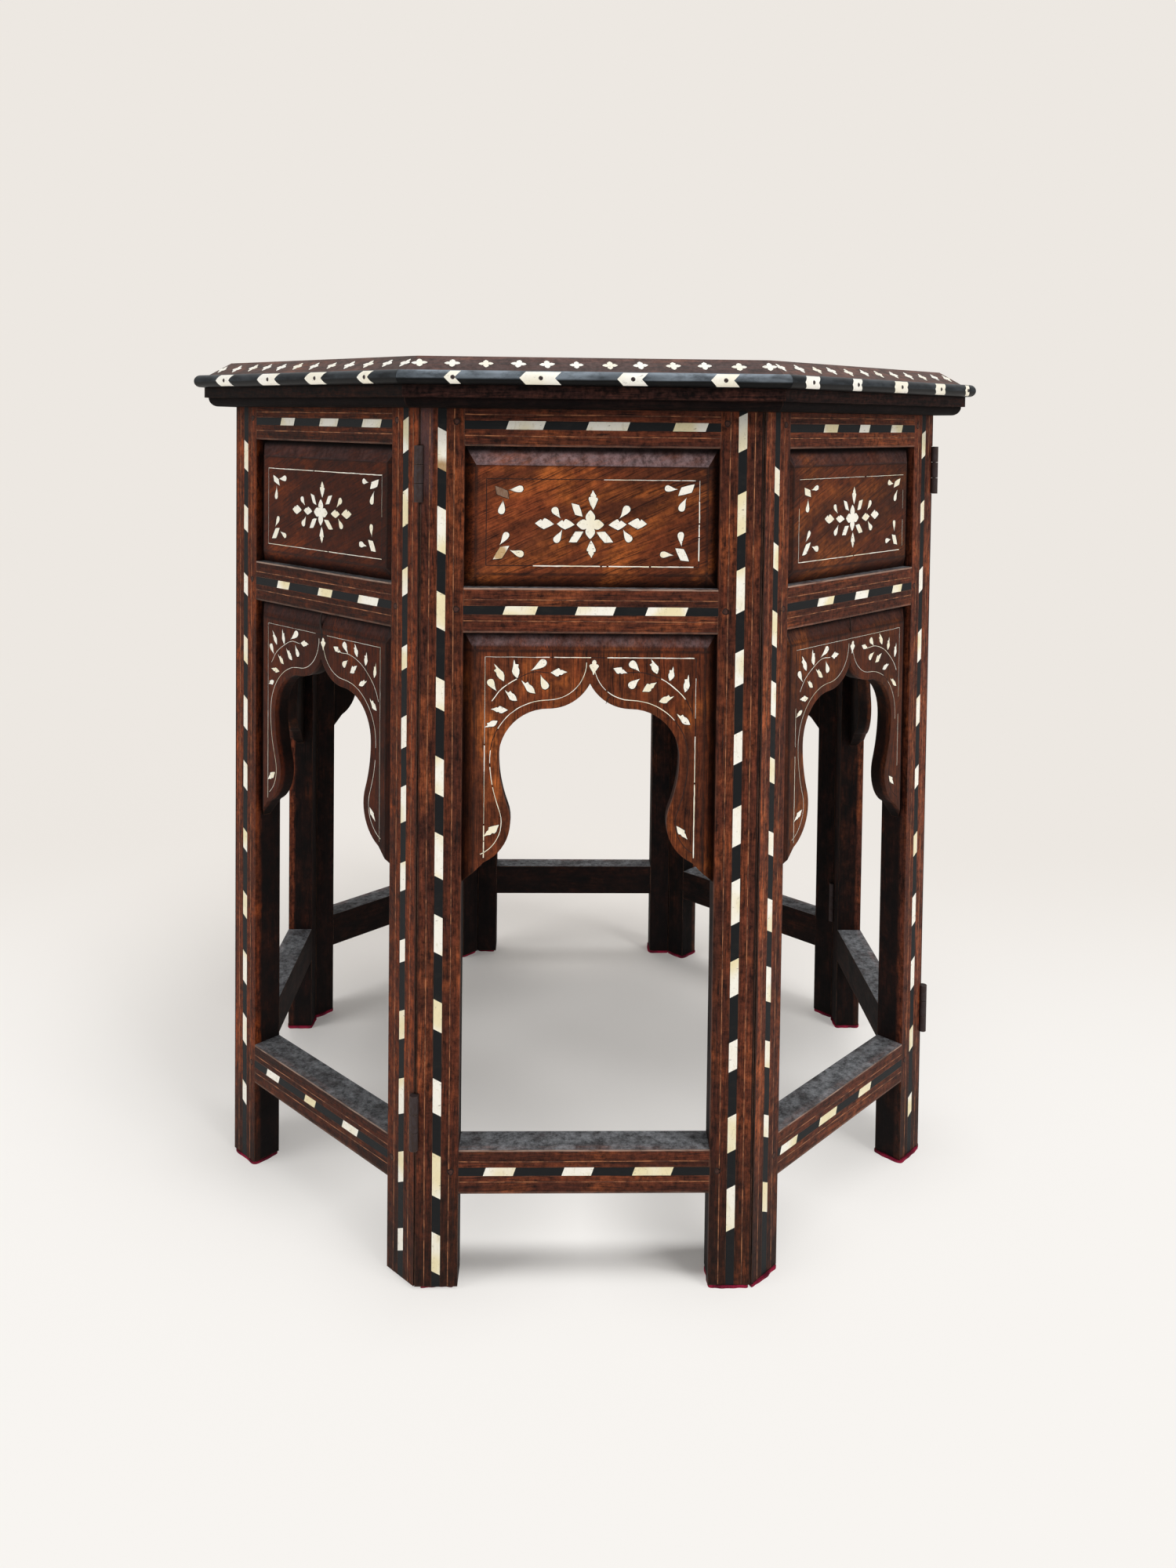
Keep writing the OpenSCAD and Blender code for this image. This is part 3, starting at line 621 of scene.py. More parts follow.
def swollen(outline, by):  # the same outline pushed outwards from its middle
    middle = outline.mean(0)
    away = outline - middle
    size = np.linalg.norm(away, axis=1)[:, None] + 1e-6
    return middle + away * (1 + np.reshape(by, (-1, 1)) / size)


def partOf(path, start, end, count=None):  # even points between two shares of a path's length
    path = np.array(path, float)
    far = np.concatenate([[0], np.cumsum(np.linalg.norm(np.diff(path, axis=0), axis=1))])
    at = np.linspace(start, end, count or max(4, int((end - start) * far[-1] / 2.5))) * far[-1]
    return np.stack([np.interp(at, far, path[:, 0]), np.interp(at, far, path[:, 1])], 1)


def smoothLine(points, count):  # a Catmull-Rom curve through the given points
    p = np.array(points, float)
    p = np.concatenate([[2 * p[0] - p[1]], p, [2 * p[-1] - p[-2]]])
    u = np.linspace(0, len(p) - 3 - 1e-6, count)
    i = u.astype(int)
    t = (u - i)[:, None]
    a, b, c, d = p[i], p[i + 1], p[i + 2], p[i + 3]
    square, cube = 2 * a - 5 * b + 4 * c - d, 3 * b - a - 3 * c + d
    return 0.5 * (2 * b + (c - a) * t + square * t ** 2 + cube * t ** 3)


def arcPoints(x, z, radius, start, end, count=14):  # an arc about (x, z), between two angles in degrees
    a = np.radians(np.linspace(start, end, count))
    return np.stack([x + radius * np.cos(a), z + radius * np.sin(a)], 1)


def archLine(inset):  # right half of the arch's edge moved out by inset: four arcs that run into each other
    shoulderX = arch["halfWidth"] - arch["shoulderRadius"]
    shoulderTop = arch["point"] - arch["tipRise"]
    shoulderZ = shoulderTop - arch["shoulderRadius"]
    tip = (shoulderX ** 2 + arch["tipRise"] ** 2) / (2 * arch["tipRise"])
    down, lobe = arch["waistDrop"], arch["lobeRadius"]
    lobeX = arch["waistHalf"] + lobe
    reach = lobeX - arch["halfWidth"]
    flank = (reach ** 2 + down ** 2 - lobe ** 2) / (2 * (lobe - reach))
    flankX = arch["halfWidth"] - flank
    bend = math.degrees(math.atan2(down, lobeX - flankX))
    start = 270 - math.degrees(math.asin(min(shoulderX / (tip - inset), 1)))
    return np.concatenate([
        arcPoints(shoulderX, shoulderTop + tip, tip - inset, start, 270),
        arcPoints(shoulderX, shoulderZ, arch["shoulderRadius"] + inset, 90, 0)[1:],
        arcPoints(flankX, shoulderZ, flank + inset, 0, -bend)[1:],
        arcPoints(lobeX, shoulderZ - down, lobe - inset, 180 - bend, arch["lobeEnd"])[1:],
    ])


# What is let into a panel, in millimetres on its face
# A piece: its shape, x and z of its stem, x and z of its tip, its width, and the side of its horn or curl
flowers = {
    "middle": (-1.0, 458.6), "size": 17,
    "pieces": [
        ("diamond", -22.4, 458.6, -33.6, 459.2, 7, -1), ("diamond", -10.3, 458.5, -20.7, 458.8, 6.9, -1),
        ("diamond", 9.8, 458.3, 20.3, 458.8, 7.1, 1), ("diamond", 21.2, 459.3, 32.4, 459.4, 6.8, 1),
        ("leaf", 0.6, 467.2, 0.5, 478.9, 6.2, 1), ("leaf", -0.3, 449.4, -0.1, 438.9, 6, 1),
        ("lozenge", -5.5, 463.2, -12.1, 470.9, 5.8, -1), ("lozenge", -5, 454.4, -13.6, 448, 6.4, 1),
        ("lozenge", 2.8, 454.1, 12.6, 448.4, 6.4, -1), ("lozenge", 4.4, 463.4, 12, 470.2, 6, 1),
        ("drop", -21.9, 466.6, -19.3, 461.4, 4.6, 1), ("drop", -20.6, 449.7, -16.5, 454.9, 4.6, 1),
        ("drop", 20.3, 467.8, 17.2, 461.8, 4.8, -1), ("drop", 21.7, 450.6, 17.5, 455.3, 4.8, -1),
        ("lozenge", -48.8, 473.5, -56.8, 480.6, 6.4, 1), ("drop", -42.5, 479.2, -49.3, 477.4, 4.3, -1),
        ("drop", -53.1, 466.1, -51.3, 473, 4.4, 1), ("lozenge", -48.3, 445.6, -58, 437.6, 6.6, 1),
        ("drop", -50.3, 451.8, -53.3, 445.6, 4.2, -1), ("drop", -42, 440.9, -48.4, 442, 4.5, -1),
        ("lozenge", 50.5, 475.9, 60, 483, 6.4, -1), ("drop", 44.4, 480.3, 49.9, 478.8, 4.2, 1),
        ("drop", 52.7, 468.7, 54.5, 475.5, 4.4, -1), ("lozenge", 49.2, 445.2, 57.5, 437.6, 6.8, -1),
        ("drop", 52.5, 453, 52, 446.2, 4, 1), ("drop", 42.3, 441.4, 48.3, 442, 4.2, -1)],
    "lost": {"front": [9]},  # pieces that have fallen out
    "frame": (-62, 63.2, 434, 485),  # stringing: left, right, bottom, top
}
vine = {
    "pieces": [
        ("bud", 2.1, 369.6, 2.4, 378.7, 6.4, 1),
        ("drop", -58.4, 364.9, -55.8, 359, 4.7, 1), ("flame", -50.7, 365.6, -56.4, 376.2, 4.9, 1),
        ("flame", -42.7, 367.6, -45.2, 378.4, 5.1, -1), ("drop", -27.9, 376.7, -34.4, 370.9, 5, -1),
        ("spade", -23.2, 371.1, -13.6, 371.4, 5.2, 1), ("flame", -32.3, 358.4, -40.7, 366, 4.9, -1),
        ("drop", -26.4, 363.3, -30.4, 369.1, 4.8, -1), ("flame", -43, 354.2, -50.4, 359.9, 4.6, -1),
        ("spade", -48.1, 348.6, -58.2, 349, 4.8, -1), ("flame", -54.4, 342, -61.7, 338, 4.2, -1),
        ("spade", -52.8, 280.2, -62, 273, 5.4, -1),
        ("spade", 13.6, 373.8, 22, 371, 4.8, 1), ("drop", 25.1, 376.2, 30, 372.4, 5, -1),
        ("flame", 39.4, 370.6, 36.3, 379.4, 4.9, 1), ("flame", 47, 366.4, 49.5, 375, 4.4, 1),
        ("flame", 56.2, 359.8, 58.5, 370, 4.3, 1), ("drop", 24.8, 363.9, 28.6, 368.6, 4.9, -1),
        ("spade", 31, 360, 39.5, 365.6, 5.4, 1), ("flame", 40.8, 354, 49.8, 357, 4.8, 1),
        ("flame", 59.6, 340.4, 51.4, 346.6, 4.6, -1), ("spade", 52.2, 279.8, 59, 271.6, 4.6, 1)],
    "stems": {
        "stemLeft": [(-57.7, 353.8), (-51.9, 361.3), (-43.4, 366.9), (-33.9, 371.1), (-24.3, 370.8)],
        "stemRight": [(21.7, 371.2), (30.6, 371.3), (39.5, 368.8), (46.9, 364.7), (55.2, 357.3),
                      (59, 351.4), (61, 346.6)]},
    "frame": (-61.9, 62.6, 260.5, 380),  # stringing: left, right, bottom, top
    "inset": 5.2,  # stringing from the arch's edge
}
survivors = {  # what is left of the light lines: from and to in hundredths of a line, width in 0.01 mm
    "front": {
        "fieldTop": [(55, 98, 33)], "fieldRight": [(0, 23, 24), (24, 49, 55), (51, 65, 60), (66, 93, 60)],
        "fieldBottom": [(22, 53.5, 60), (54.5, 56.5, 50), (57.5, 76.5, 62), (77.5, 97.5, 50)],
        "fieldLeft": [], "archTop": [(0, 24, 20), (24, 30.5, 40), (32.5, 50, 42), (57.7, 99, 50)],
        "archLeft": [(0, 43, 16), (44, 57, 45), (57, 83, 20), (84, 91.5, 55), (92, 100, 55)],
        "archRight": [(10, 30, 20), (39, 62, 42), (63, 100, 60)],
        "curveLeft": [(0, 30, 36), (30, 46.5, 42), (55.5, 60.5, 40), (62, 69, 45), (70, 100, 40)],
        "curveRight": [(0, 12, 30), (13, 42, 42)], "stemLeft": [(0, 50, 50)], "stemRight": [(42, 80, 55)],
    },
    "front_left": {
        "fieldTop": [(0, 42, 45), (43, 100, 50)], "fieldRight": [(0, 50, 10)],
        "fieldBottom": [(0, 55, 35), (56, 100, 42)], "fieldLeft": [(0, 100, 10)],
        "archTop": [(0, 45, 15), (55, 100, 18)], "archLeft": [(0, 50, 12), (50, 100, 28)],
        "archRight": [(0, 100, 14)], "curveLeft": [(0, 97, 26)], "curveRight": [(0, 60, 25), (65, 100, 25)],
        "stemLeft": [(0, 100, 25)], "stemRight": [(0, 100, 25)],
    },
    "front_right": {
        "fieldTop": [(0, 60, 22), (62, 100, 26)], "fieldRight": [(20, 45, 12), (60, 95, 15)],
        "fieldBottom": [(0, 50, 40), (51, 97, 45)], "fieldLeft": [(35, 100, 20)],
        "archTop": [(0, 100, 16)], "archLeft": [(30, 50, 18), (55, 100, 30)],
        "archRight": [(0, 40, 12), (50, 80, 20)], "curveLeft": [(0, 100, 20)],
        "curveRight": [(0, 35, 20), (40, 60, 18)], "stemLeft": [(0, 100, 28)], "stemRight": [(0, 90, 28)],
    },
}
grown = {"front": (1.0, 0.9), "others": (0.92, 0.78)}  # length and width of the inlay against the drawing
stringing = {"width": 0.48, "beside": 7.0, "besideRail": 6.2, "board": 0.5}
proud = {"bone": -0.06, "mastic": -0.02, "line": -0.05, "frameLine": -0.03, "peg": -0.12, "back": 0.5}
cracks = {  # dark splits on a board's face: path and width
    "front_left": [([(0.4, 394.2), (-1.2, 388), (0.9, 379), (-0.2, 372), (0.1, 365.5)], 1.7)],
    "front_right": [([(-1.2, 394), (0.3, 384), (-0.6, 375)], 0.7)],
    "front": [([(9.5, 352.5), (11, 356.2), (15, 358)], 0.35)],
}


def stretches(name, line, rng):  # the surviving parts of one line: start, end, width
    if name in survivors:
        return [(start / 100, end / 100, width / 100) for start, end, width in survivors[name][line]]
    parts, at = [], rng.uniform(0, 0.05)
    while at < 0.97:
        end = min(at + rng.uniform(0.08, 0.42), 1.0)
        parts.append((at, end, rng.uniform(0.3, 0.75)))
        at = end + (rng.uniform(0.05, 0.2) if rng.uniform() < 0.3 else rng.uniform(0.006, 0.02))
    return parts


def panelLines():  # the light lines of both boards, as paths on the panel's face
    x0, x1, z0, z1 = flowers["frame"]
    u0, u1, w0, w1 = vine["frame"]
    edge = archLine(vine["inset"])
    return {
        "fieldTop": [(x0, z1), (x1, z1)], "fieldBottom": [(x0, z0), (x1, z0)],
        "fieldLeft": [(x0, z1), (x0, z0)], "fieldRight": [(x1, z1), (x1, z0)],
        "archTop": [(u0, w1), (u1, w1)],
        "archLeft": [(u0, w1), (u0, w0)], "archRight": [(u1, w1), (u1, w0)],
        "curveLeft": edge * [-1, 1], "curveRight": edge,
        **{line: smoothLine(points, 30) for line, points in vine["stems"].items()}}


swell = {  # how far the dark beds show round the bone
    "board": 0.42, "off": (0.05, -0.08),  # on the boards they are set a little askew
    "border": 0.3, "top": 0.4,
}


def drawBoards(name, rng, place):  # bone shapes in dark beds, light lines in dark grooves, and splits
    face, back = panel["fieldDepth"], panel["fieldDepth"] + proud["back"]
    play = 0.4 if name == "front" else 1.3
    lost = flowers["lost"].get(name, [])
    longer, wider = grown.get(name, grown["others"])
    kept = [row for i, row in enumerate(flowers["pieces"]) if i not in lost] + vine["pieces"]
    outlines = [quatrefoil(flowers["size"]) * [wider ** 0.5, 1] + flowers["middle"]]
    outlines += [cut(row, rng, play, longer, wider) for row in kept]
    bonePieces = [slab(o, face + proud["bone"], back) for o in outlines]
    beds = [slab(swollen(o, swell["board"]) + swell["off"], face + proud["mastic"], back) for o in outlines]
    for line, points in panelLines().items():
        path = partOf(points, 0, 1, 60)
        path = path + rng.normal(0, 0.045, path.shape)
        beds.append(ribbon(path, stringing["board"], face + proud["mastic"], back))
        for a, b, width in stretches(name, line, rng):
            part = partOf(path, a, b)
            uneven = width * (1 + rng.normal(0, 0.14, len(part)))
            bonePieces.append(ribbon(part, uneven, face + proud["line"], back))
    for path, width in cracks.get(name, []):
        path = partOf(smoothLine(path, 24), 0, 1, 24)
        beds.append(ribbon(path, width * np.sin(np.linspace(0.5, np.pi, 24)), face + proud["mastic"], back))
    makePiece(name + "_flowers", name, bone, bonePieces, place)
    makePiece(name + "_mastic", name, mastic, beds, place)


def frameLine(start, end, count, axis, sway, rng):  # a light line that sways off its axis as it goes
    path = partOf([start, end], 0, 1, count)
    path[:, axis] += np.cumsum(rng.normal(0, sway, count))
    width = stringing["width"] * (1 + rng.normal(0, 0.15, count))
    return ribbon(path, width, proud["frameLine"], proud["back"])


def drawStringing(name, rng, place):  # the two light lines beside every band of the frame
    strips = []
    for x in (-panel["bandX"], panel["bandX"]):
        for line in (x - stringing["beside"], x + stringing["beside"]):
            strips.append(frameLine((line, 2.5), (line, panel["height"] - 0.5), 90, 0, 0.03, rng))
    reach = panel["openHalf"] - 0.1
    for z in panel["railMiddles"]:
        for line in (z - stringing["besideRail"], z + stringing["besideRail"]):
            strips.append(frameLine((-reach, line), (reach, line), 50, 1, 0.025, rng))
    makePiece(name + "_stringing", name, stringWood, strips, place)


pegHeads = {
    "radius": 1.35, "wobble": 0.12, "ring": 1.5, "astray": 0.6,
    "off": 4.4, "up": (2, 0, 0),  # from the opening's edge, and above the middle of each rail
}
splits = {"each": 5, "off": (8.2, 11), "low": (20, 480), "long": (12, 45), "width": 0.3, "proud": -0.025}


def drawPegs(name, rng, place):  # pegs through the tenons, uneven discs in dark rings, and hairline splits
    pegs, dark = [], []
    for side in (-1, 1):
        for z, up in zip(panel["railMiddles"], pegHeads["up"]):
            t = roundSteps(14)
            r = pegHeads["radius"] + pegHeads["wobble"] * np.cos(3 * t + rng.uniform(0, 6))
            middle = [side * (panel["openHalf"] + pegHeads["off"]), z + up]
            middle = middle + rng.uniform(-1, 1, 2) * pegHeads["astray"]
            head = np.stack([r * np.cos(t), r * np.sin(t)], 1)
            pegs.append(slab(middle + head, proud["peg"], proud["back"]))
            dark.append(slab(middle + head * pegHeads["ring"], proud["frameLine"], proud["back"]))
    for side in (-1, 1):
        for _ in range(splits["each"]):
            x = side * (panel["bandX"] + rng.choice([-1, 1]) * rng.uniform(*splits["off"]))
            z = rng.uniform(*splits["low"])
            end = (x + rng.uniform(-0.5, 0.5), z + rng.uniform(*splits["long"]))
            path = partOf([(x, z), end], 0, 1, 20)
            path[:, 0] += np.cumsum(rng.normal(0, 0.06, 20))
            width = splits["width"] * np.sin(np.linspace(0.2, 3.0, 20))
            dark.append(ribbon(path, width, splits["proud"], proud["back"]))
    makePiece(name + "_pegs", name, pegWood, pegs, place)
    makePiece(name + "_splits", name, mastic, dark, place)


for k, name in enumerate(panelNames):
    rng = np.random.default_rng(40 + k)
    for draw in (drawBoards, drawStringing, drawPegs):
        draw(name, rng, lambda points: onPanel(k, points))
print("panels inlaid")

# Felt under the feet
pads = {
    "thickness": 2.0, "wave": 0.55,
    "sunk": 0.3,  # the felt's top lies this much below its full thickness
    "out": {"front": (-2.5, 0.3), "front_right": (1.3, 1.7), "right": (1.7, 1.3), "back_right": (1.2, 1.6),
            "back": (1.6, -2.0), "back_left": (-0.5, 1.6), "left": (1.6, 0.3), "front_left": (0.5, -2.5)},
}


def feltPad(k, name):  # a prism over the foot's outline, rounded by a running mean, its edge a little wavy
    rng = np.random.default_rng(90 + k)
    parts = []
    inner, outer, deep = panel["openHalf"], panel["outer"], panel["thickness"]
    for side, out in zip((-1, 1), pads["out"][name]):
        corners = [(inner, 0), (outer, 0), (outer - deep * mitre, deep), (inner, deep), (inner, 0)]
        outline = partOf(corners, 0, 1, 61)[:-1]
        outline = sum(np.roll(outline, i, 0) for i in range(-2, 3)) / 5
        t = roundSteps(60)
        wave = sum(rng.uniform(0.3, 1) * np.sin(f * t + rng.uniform(0, 6)) for f in (3, 6, 11)) / 2
        outline = swollen(outline, out - 0.2 + wave * pads["wave"])
        outline[:, 0] = np.minimum(outline[:, 0], outer - outline[:, 1] * mitre)
        if side < 0:
            outline = (outline * [-1, 1])[::-1]
        upper = pads["thickness"] - pads["sunk"] + np.clip(rng.normal(0, 0.12, 60), -0.3, 0.3)
        parts.append(prism(np.column_stack([outline, upper]), np.column_stack([outline, np.zeros(60)])))
    piece = makePiece(name + "_felt", name, felt, parts, lambda points: onPanel(k, points))
    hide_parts(name + "_feet")


for k, name in enumerate(panelNames):
    feltPad(k, name)
print("felt laid")

# The top: quatrefoils on the bevel, nails in the chevrons, and the flat's inlay
border = {
    "front": (-100.4, -81.6, -62.3, -43.6, -27.2, -10.3, 8.9, 26.5, 45.5, 63.6, 83.6, 101.3),
    "pitch": 18.35, "size": 8.6, "up": 8.2,
}
nails = {  # one in the middle of each bone chevron: places in pitches along each side of the top
    "places": [(-1.57, -0.6, 0.42, 1.45), (-1.77, -0.82, 0.21, 1.22, 1.97), (-1.5, -0.55, 0.5, 1.52),
               (-1.6, -0.48, 0.44, 1.4), (-1.45, -0.62, 0.38, 1.5), (-1.55, -0.5, 0.55, 1.44),
               (-1.62, -0.57, 0.46, 1.55), (-1.43, -0.39, 0.63, 1.61)],
    "radius": 1.3, "thick": 0.6,
    "nose": 4.15,  # radius of the lipping's rounded front
}


def inlaid(outlines, extra):  # bone slabs, and a dark bed for each
    return ([slab(o, proud["bone"], proud["back"]) for o in outlines],
            [slab(swollen(o, extra), proud["mastic"], proud["back"]) for o in outlines])


def drawBorder():  # twelve quatrefoils along each side, each turned, stretched and set a little unevenly
    rng = np.random.default_rng(7)
    for k in range(8):
        places = border["front"]
        if k > 0:
            places = [(i - 5.5) * border["pitch"] + rng.uniform(-1.4, 1.4) for i in range(12)]
        outlines = []
        for x in places:
            o = quatrefoil(border["size"] * rng.uniform(0.92, 1.08), 0.52, 0.38, 0.14)
            o = turned(o, rng.uniform(-0.12, 0.12)) * rng.uniform(0.94, 1.06, 2)
            outlines.append(o + rng.normal(0, 0.07, o.shape) + [x, border["up"] + rng.uniform(-0.5, 0.5)])
        pieces, beds = inlaid(outlines, swell["border"])
        place = lambda points: onBorder(k, points)
        makePiece("border_quatrefoils_%d" % k, "top", bone, pieces, place)
        makePiece("border_beds_%d" % k, "top", mastic, beds, place)


def drawNails():  # discs bent to the lipping's half-round front: three rings of points before, three behind
    parts = []
    nose = nails["nose"]
    middle = (top["lippingLow"] + top["borderLow"]) / 2
    n = 12
    i, j = np.meshgrid(np.arange(2) * n, np.arange(n), indexing="ij")
    j2 = (j + 1) % n
    quads = np.stack([i + j, i + j + n, i + j2 + n, i + j2], 2).reshape(-1, 4)
    j, j2 = j[0] + 2 * n, j2[0] + 2 * n  # the outermost rings, joined by the rim
    rim = np.stack([j, j + 3 * n, j2 + 3 * n, j2], 1)
    faces = quads.tolist() + (quads[:, ::-1] + 3 * n).tolist() + rim.tolist()
    faces += [np.arange(n).tolist(), (3 * n + np.arange(n)[::-1]).tolist()]
    u, v = np.meshgrid(np.array([0.03, 0.5, 1.0]) * nails["radius"], roundSteps(n), indexing="ij")
    for k, places in enumerate(nails["places"]):
        for place in places:
            x, z = place * top["chevronPitch"] + u * np.cos(v), u * np.sin(v)
            front = top["reach"] - nose + np.sqrt(nose ** 2 - z ** 2) + 0.02
            both = [onSide(k, x, out, middle + z).reshape(-1, 3) for out in (front, front - nails["thick"])]
            parts.append((np.concatenate(both), faces))
    makePiece("chevron_nails", "top", iron, parts, lambda points: points)


def mirrored(shape, x0, z0, x1, z1, width, side):  # a piece and its mirror image
    return [(shape, x0, z0, x1, z1, width, side), (shape, -x0, z0, -x1, z1, width, -side)]


medallion = {  # the flat of the top, in the panels' manner
    "rings": (54, 96), "octagons": (236, 230), "line": 0.8, "groove": 1.1,
    "middle": 27, "around": (18, 150),  # quatrefoils: size of the middle one, size and reach of the others
    "heart": [("flame", 0, 18, 0, 38, 8, 1), *mirrored("drop", 9, 43, 4, 33, 5.5, 1),
              ("diamond", 0, 39, 0, 51, 7, 1), ("diamond", 0, 58, 0, 72, 8, 1),
              *mirrored("drop", 11, 76, 4, 69, 5.5, 1), ("bud", 0, 76, 0, 92, 9, 1)],
    "side": [("diamond", 0, 161, 0, 174, 7.5, 1), ("diamond", 0, 139, 0, 126, 7.5, 1),
             ("diamond", 11, 150, 24, 150, 7.5, 1), ("diamond", -11, 150, -24, 150, 7.5, 1),
             *mirrored("drop", 23, 168, 14, 161, 5.5, -1), *mirrored("drop", 23, 132, 14, 139, 5.5, 1),
             ("bud", 0, 182, 0, 200, 10, 1), *mirrored("spade", 8, 196, 20, 206, 7, 1),
             ("diamond", 0, 104, 0, 118, 8, 1)],
    "corner": [("flame", 7, 114, 22, 122, 7, 1), ("flame", 2, 121, -14, 127, 7, -1),
               ("flame", -5, 138, -21, 145, 7, -1), ("drop", 13, 146, 1, 150, 6.5, 1),
               ("flame", 7, 160, 22, 168, 7, 1), ("drop", -11, 170, 1, 174, 6.5, -1),
               ("flame", -3, 186, -16, 196, 6.5, -1), ("drop", 12, 194, 2, 198, 6, 1),
               ("bud", 0, 206, 0, 224, 9, 1)],
    "stem": [(0, 104), (9, 122), (-7, 146), (7, 168), (-4, 190), (0, 206)],
}


def drawFlat():  # one eighth of the drawing, turned round the middle eight times, with rings and octagons
    rng = np.random.default_rng(23)
    m = medallion
    outlines, lines = [quatrefoil(m["middle"])], []
    for i in range(8):
        a, b = i * eighth, (i + 0.5) * eighth
        for group, angle in ((m["heart"], a), (m["side"], a), (m["corner"], b)):
            outlines += [turned(cut(row, rng), angle) for row in group]
        outlines.append(turned(quatrefoil(m["around"][0]) + [0, m["around"][1]], a))
        lines.append(turned(smoothLine(m["stem"], 50), b))
        for reach in m["octagons"]:
            lines.append(turned(partOf([(-reach * mitre, reach), (reach * mitre, reach)], 0, 1, 40), a))
    lines += [arcPoints(0, 0, radius, 0, 360, 97) for radius in m["rings"]]
    pieces, beds = inlaid(outlines, swell["top"])
    for path in lines:
        beds.append(ribbon(path, m["groove"], proud["mastic"], proud["back"]))
        for a, b, width in stretches("", "", rng):
            pieces.append(ribbon(partOf(path, a, b), width * m["line"] / 0.6, proud["line"], proud["back"]))
    makePiece("top_flowers", "top", bone, pieces, onTop)
    makePiece("top_mastic", "top", mastic, beds, onTop)


drawBorder()
drawNails()
drawFlat()
print("top inlaid")

# Camera, floor and light
view = {
    "eye": (-0.02137, -0.96821, 0.52063),  # metres
    "yaw": -1.4665, "pitch": -1.9442, "roll": -0.6879,  # degrees
    "focal": 1580.7,  # in pixels of a frame 2000 high
    "eyeRow": 587.94,  # row that lies level with the lens axis
    "high": 2000,
    "sensor": 36,  # height of the film in millimetres
}


def makeCamera():  # looks level along +Y, then rolls, pitches and yaws; the frame shifts to its row
    data = bpy.data.cameras.new("camera")
    data.sensor_width = view["sensor"]
    data.lens = view["sensor"] * view["focal"] / view["high"]
    data.shift_y = (view["eyeRow"] - view["high"] / 2) / view["high"]
    data.clip_start = 0.01
    camera = bpy.data.objects.new("camera", data)
    scene.collection.objects.link(camera)
    aim = Matrix.Identity(4)
    for angle, axis in (("yaw", "Z"), ("pitch", "X"), ("roll", "Y")):
        aim = aim @ Matrix.Rotation(math.radians(view[angle]), 4, axis)
    camera.matrix_world = Matrix.Translation(view["eye"]) @ aim @ Matrix.Rotation(math.pi / 2, 4, "X")
    scene.camera = camera


studio = {
    "floor": "f8f5f1", "wall": "ede8e2",  # the paper's colour before and behind the table
    "turn": (-0.1, 0.55),  # where one passes into the other
    "near": -6, "far": 3.2, "curve": 1.2, "tall": 5.0, "wide": 7.0,  # the paper's sweep
    "middle": (-0.07, 0.19), "clearing": (0.16, 0.51),  # middle of the shadow, and how far off it fades
    "softness": (0.135, 0.968),  # share of the paper's own light under the table and clear of it
    "open": (0.8, 1.5),  # from here on the paper's own light alone is seen
    "pool": (0.01, 0.13), "deep": 0.5, "inward": 0.06,  # pools of shadow inside the ring's corners
    "band": 0.024, "feet": (0.085, 0.115),  # between the front feet: a band of deeper shadow, and a lighter one behind it
    "dark": 0.44, "darker": 0.2, "darkFrom": (-0.1, 0.0), "darkest": (0.02, 0.085),
    "light": 0.24, "lightEnd": (-0.02, 0.08),
}


def paperColour(w):  # the floor's colour runs into the wall's
    y = w.split(w.node("TexCoord", {}, {}, "Object"))[1]
    return y.rise(*studio["turn"]).blend(studio["floor"], studio["wall"])


def ownLight(w):  # the share of its own light that the paper shows, from place to place on the floor
    s = studio
    x, y, z = w.split(w.node("TexCoord", {}, {}, "Object"))
    dx, dy = x - s["middle"][0], y - s["middle"][1]
    reach = w.maths("SQRT", dx * dx + dy * dy)
    share = reach.rise(*s["clearing"], *s["softness"]) + reach.rise(*s["open"], 0, 1 - s["softness"][1])
    at = octagonPlace(w)
    corner, out = panel["reach"] * mitre * mm - abs(at.x), at.behind - s["inward"]
    pool = w.maths("SQRT", corner * corner + out * out).fall(*s["pool"]) * s["deep"]
    band, inside = s["band"], y + panel["reach"] * mm  # inside: how far behind the front's face
    dark = (x.rise(*s["darkFrom"]) + x.rise(*s["darkest"])) * s["darker"] + s["dark"]
    dark = inside.rise(0, band) * inside.fall(band, 2 * band) * dark
    light = inside.rise(1.2 * band, 2 * band) * inside.fall(4 * band, 5 * band)
    light = light * x.fall(*s["lightEnd"]) * s["light"]
    front = abs(x).fall(*s["feet"])
    return w.maths("MAXIMUM", share * (1 - pool) + front * (light - dark), 0)


def paperMaterial():  # matt paper, mixed for the eye alone with a light of its own colour
    material = makeMaterial("paper", lambda w: sockets(paperColour(w), 0.9, 0))
    tree = material.node_tree
    w = Wire(tree)
    matt = Wire(tree, tree.nodes["Principled BSDF"].outputs[0])
    glow = w.node("Emission", {}, {"Color": paperColour(w), "Strength": 1})
    share = 0
    for kind in ("Camera", "Glossy", "Transmission"):
        share = w.maths("MAXIMUM", share, w.node("LightPath", {}, {}, "Is %s Ray" % kind))
    mixed = w.node("MixShader", {}, {0: share * ownLight(w), 1: matt, 2: glow})
    tree.links.new(mixed.out, tree.nodes["Material Output"].inputs[0])
    return material


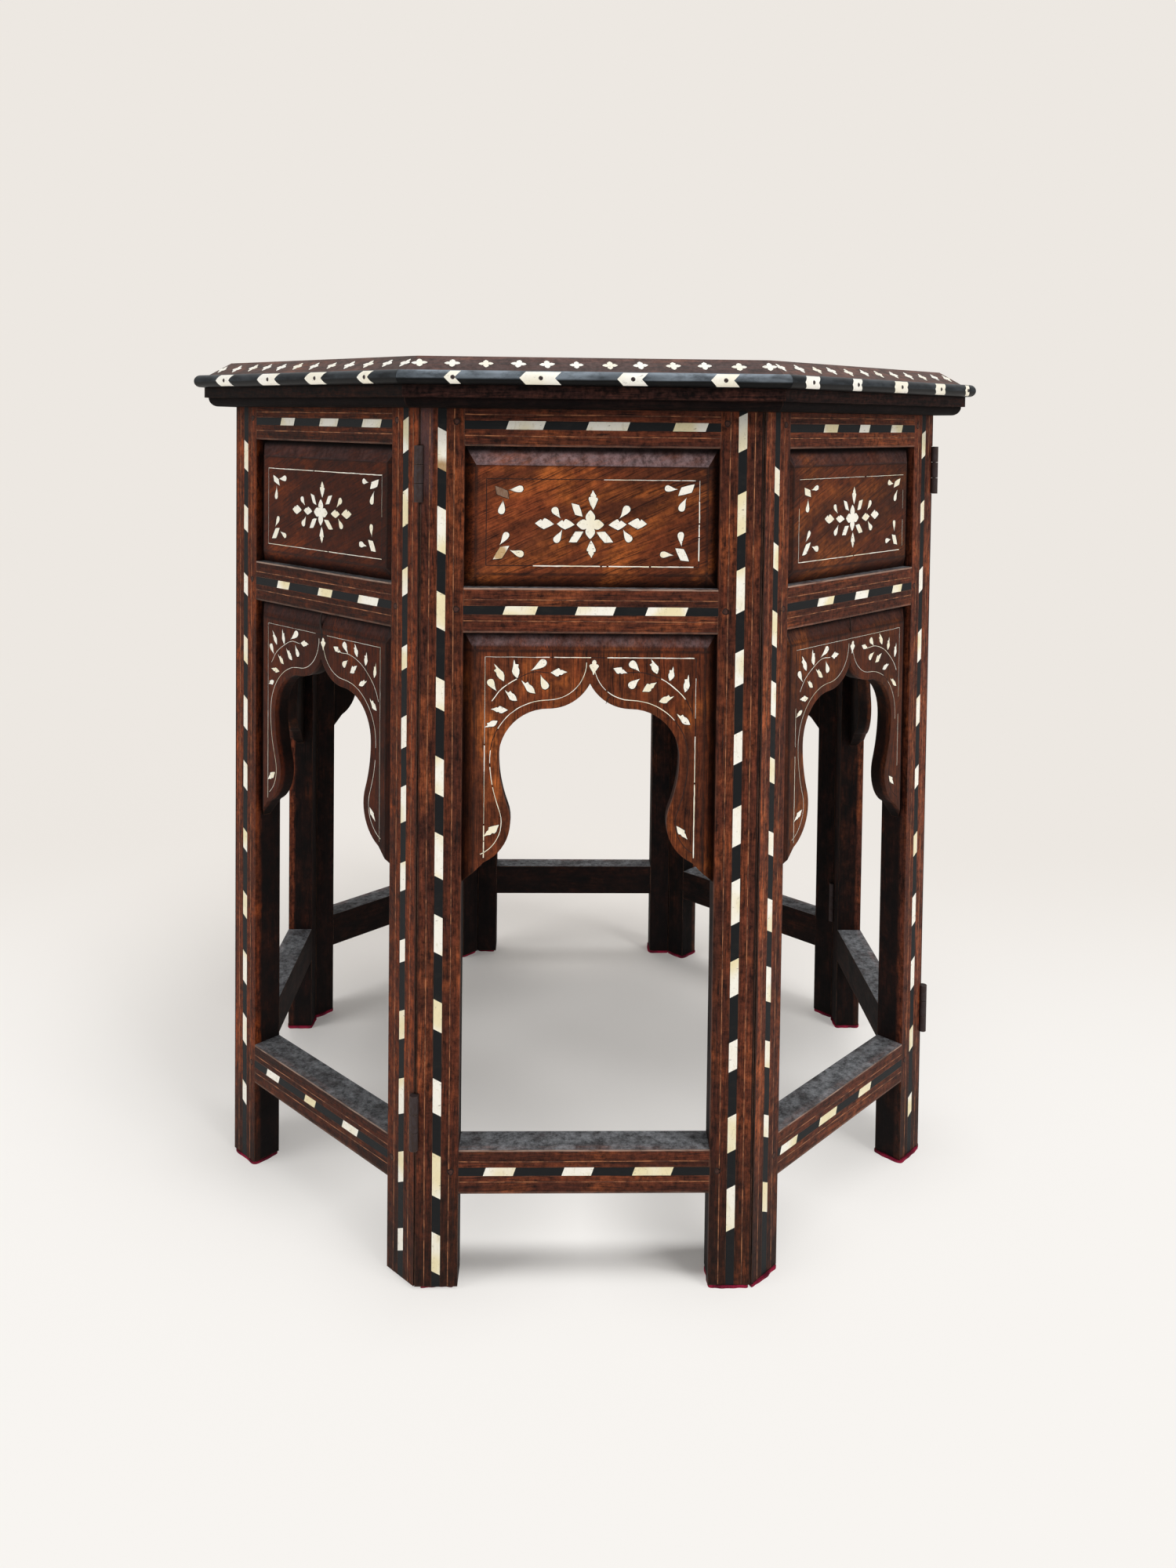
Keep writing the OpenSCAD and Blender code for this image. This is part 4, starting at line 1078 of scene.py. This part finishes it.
def makeStudio():  # a floor that sweeps up into a wall by a quarter circle, its profile carried along x
    s = studio
    bend = np.linspace(0, np.pi / 2, 24)[1:]
    flat = np.linspace(s["near"], s["far"], 40)
    y = np.concatenate([flat, s["far"] + s["curve"] * np.sin(bend), [s["far"] + s["curve"]]])
    z = np.concatenate([flat * 0, s["curve"] * (1 - np.cos(bend)), [s["tall"]]])
    n = len(y)
    x = np.repeat([-s["wide"], s["wide"]], n)
    i = np.arange(n - 1)
    faces = np.stack([i, i + n, i + n + 1, i + 1], 1)
    mesh = bpy.data.meshes.new("backdrop")
    mesh.from_pydata(np.stack([x, np.tile(y, 2), np.tile(z, 2)], 1).tolist(), [], faces.tolist())
    mesh.polygons.foreach_set("use_smooth", [True] * len(mesh.polygons))
    mesh.materials.append(paperMaterial())
    paper = bpy.data.objects.new("backdrop", mesh)
    scene.collection.objects.link(paper)


lamps = {  # square soft lamps: place and size in metres, power in watts
    "overhead": {"at": (0.8, 0.0, 5.0), "size": 4.0, "power": 110},
    "key": {"at": (3.8, -3.6, 3.4), "size": 2.8, "power": 172},
    "left": {"at": (-4.6, -2.1, 2.5), "size": 2.8, "power": 116},
}
lampAim = (0, 0, 0.3)
room = {"light": 0.3, "seen": "ede8e2"}  # the world's strength on the table, and the colour it shows


def makeLamps():  # each looks at the same point
    for name, lamp in lamps.items():
        data = bpy.data.lights.new(name, "AREA")
        data.size = lamp["size"]
        data.energy = lamp["power"]
        light = bpy.data.objects.new(name, data)
        scene.collection.objects.link(light)
        turn = (Vector(lamp["at"]) - Vector(lampAim)).to_track_quat("Z", "Y")
        light.matrix_world = Matrix.Translation(lamp["at"]) @ turn.to_matrix().to_4x4()


def makeWorld():  # white light on the table, and the wall's colour where the camera sees past the paper
    world = bpy.data.worlds.new("room")
    world.use_nodes = True
    tree = world.node_tree
    w = Wire(tree)
    lit = w.node("Background", {}, {0: "ffffff", 1: room["light"]})
    seen = w.node("Background", {}, {0: room["seen"], 1: 1})
    mixed = w.node("MixShader", {}, {0: w.node("LightPath", {}, {}, "Is Camera Ray"), 1: lit, 2: seen})
    tree.links.new(mixed.out, tree.nodes["World Output"].inputs[0])
    scene.world = world


makeCamera()
makeStudio()
makeLamps()
makeWorld()
scene.view_settings.view_transform = "Standard"
print("camera, floor and lamps set")
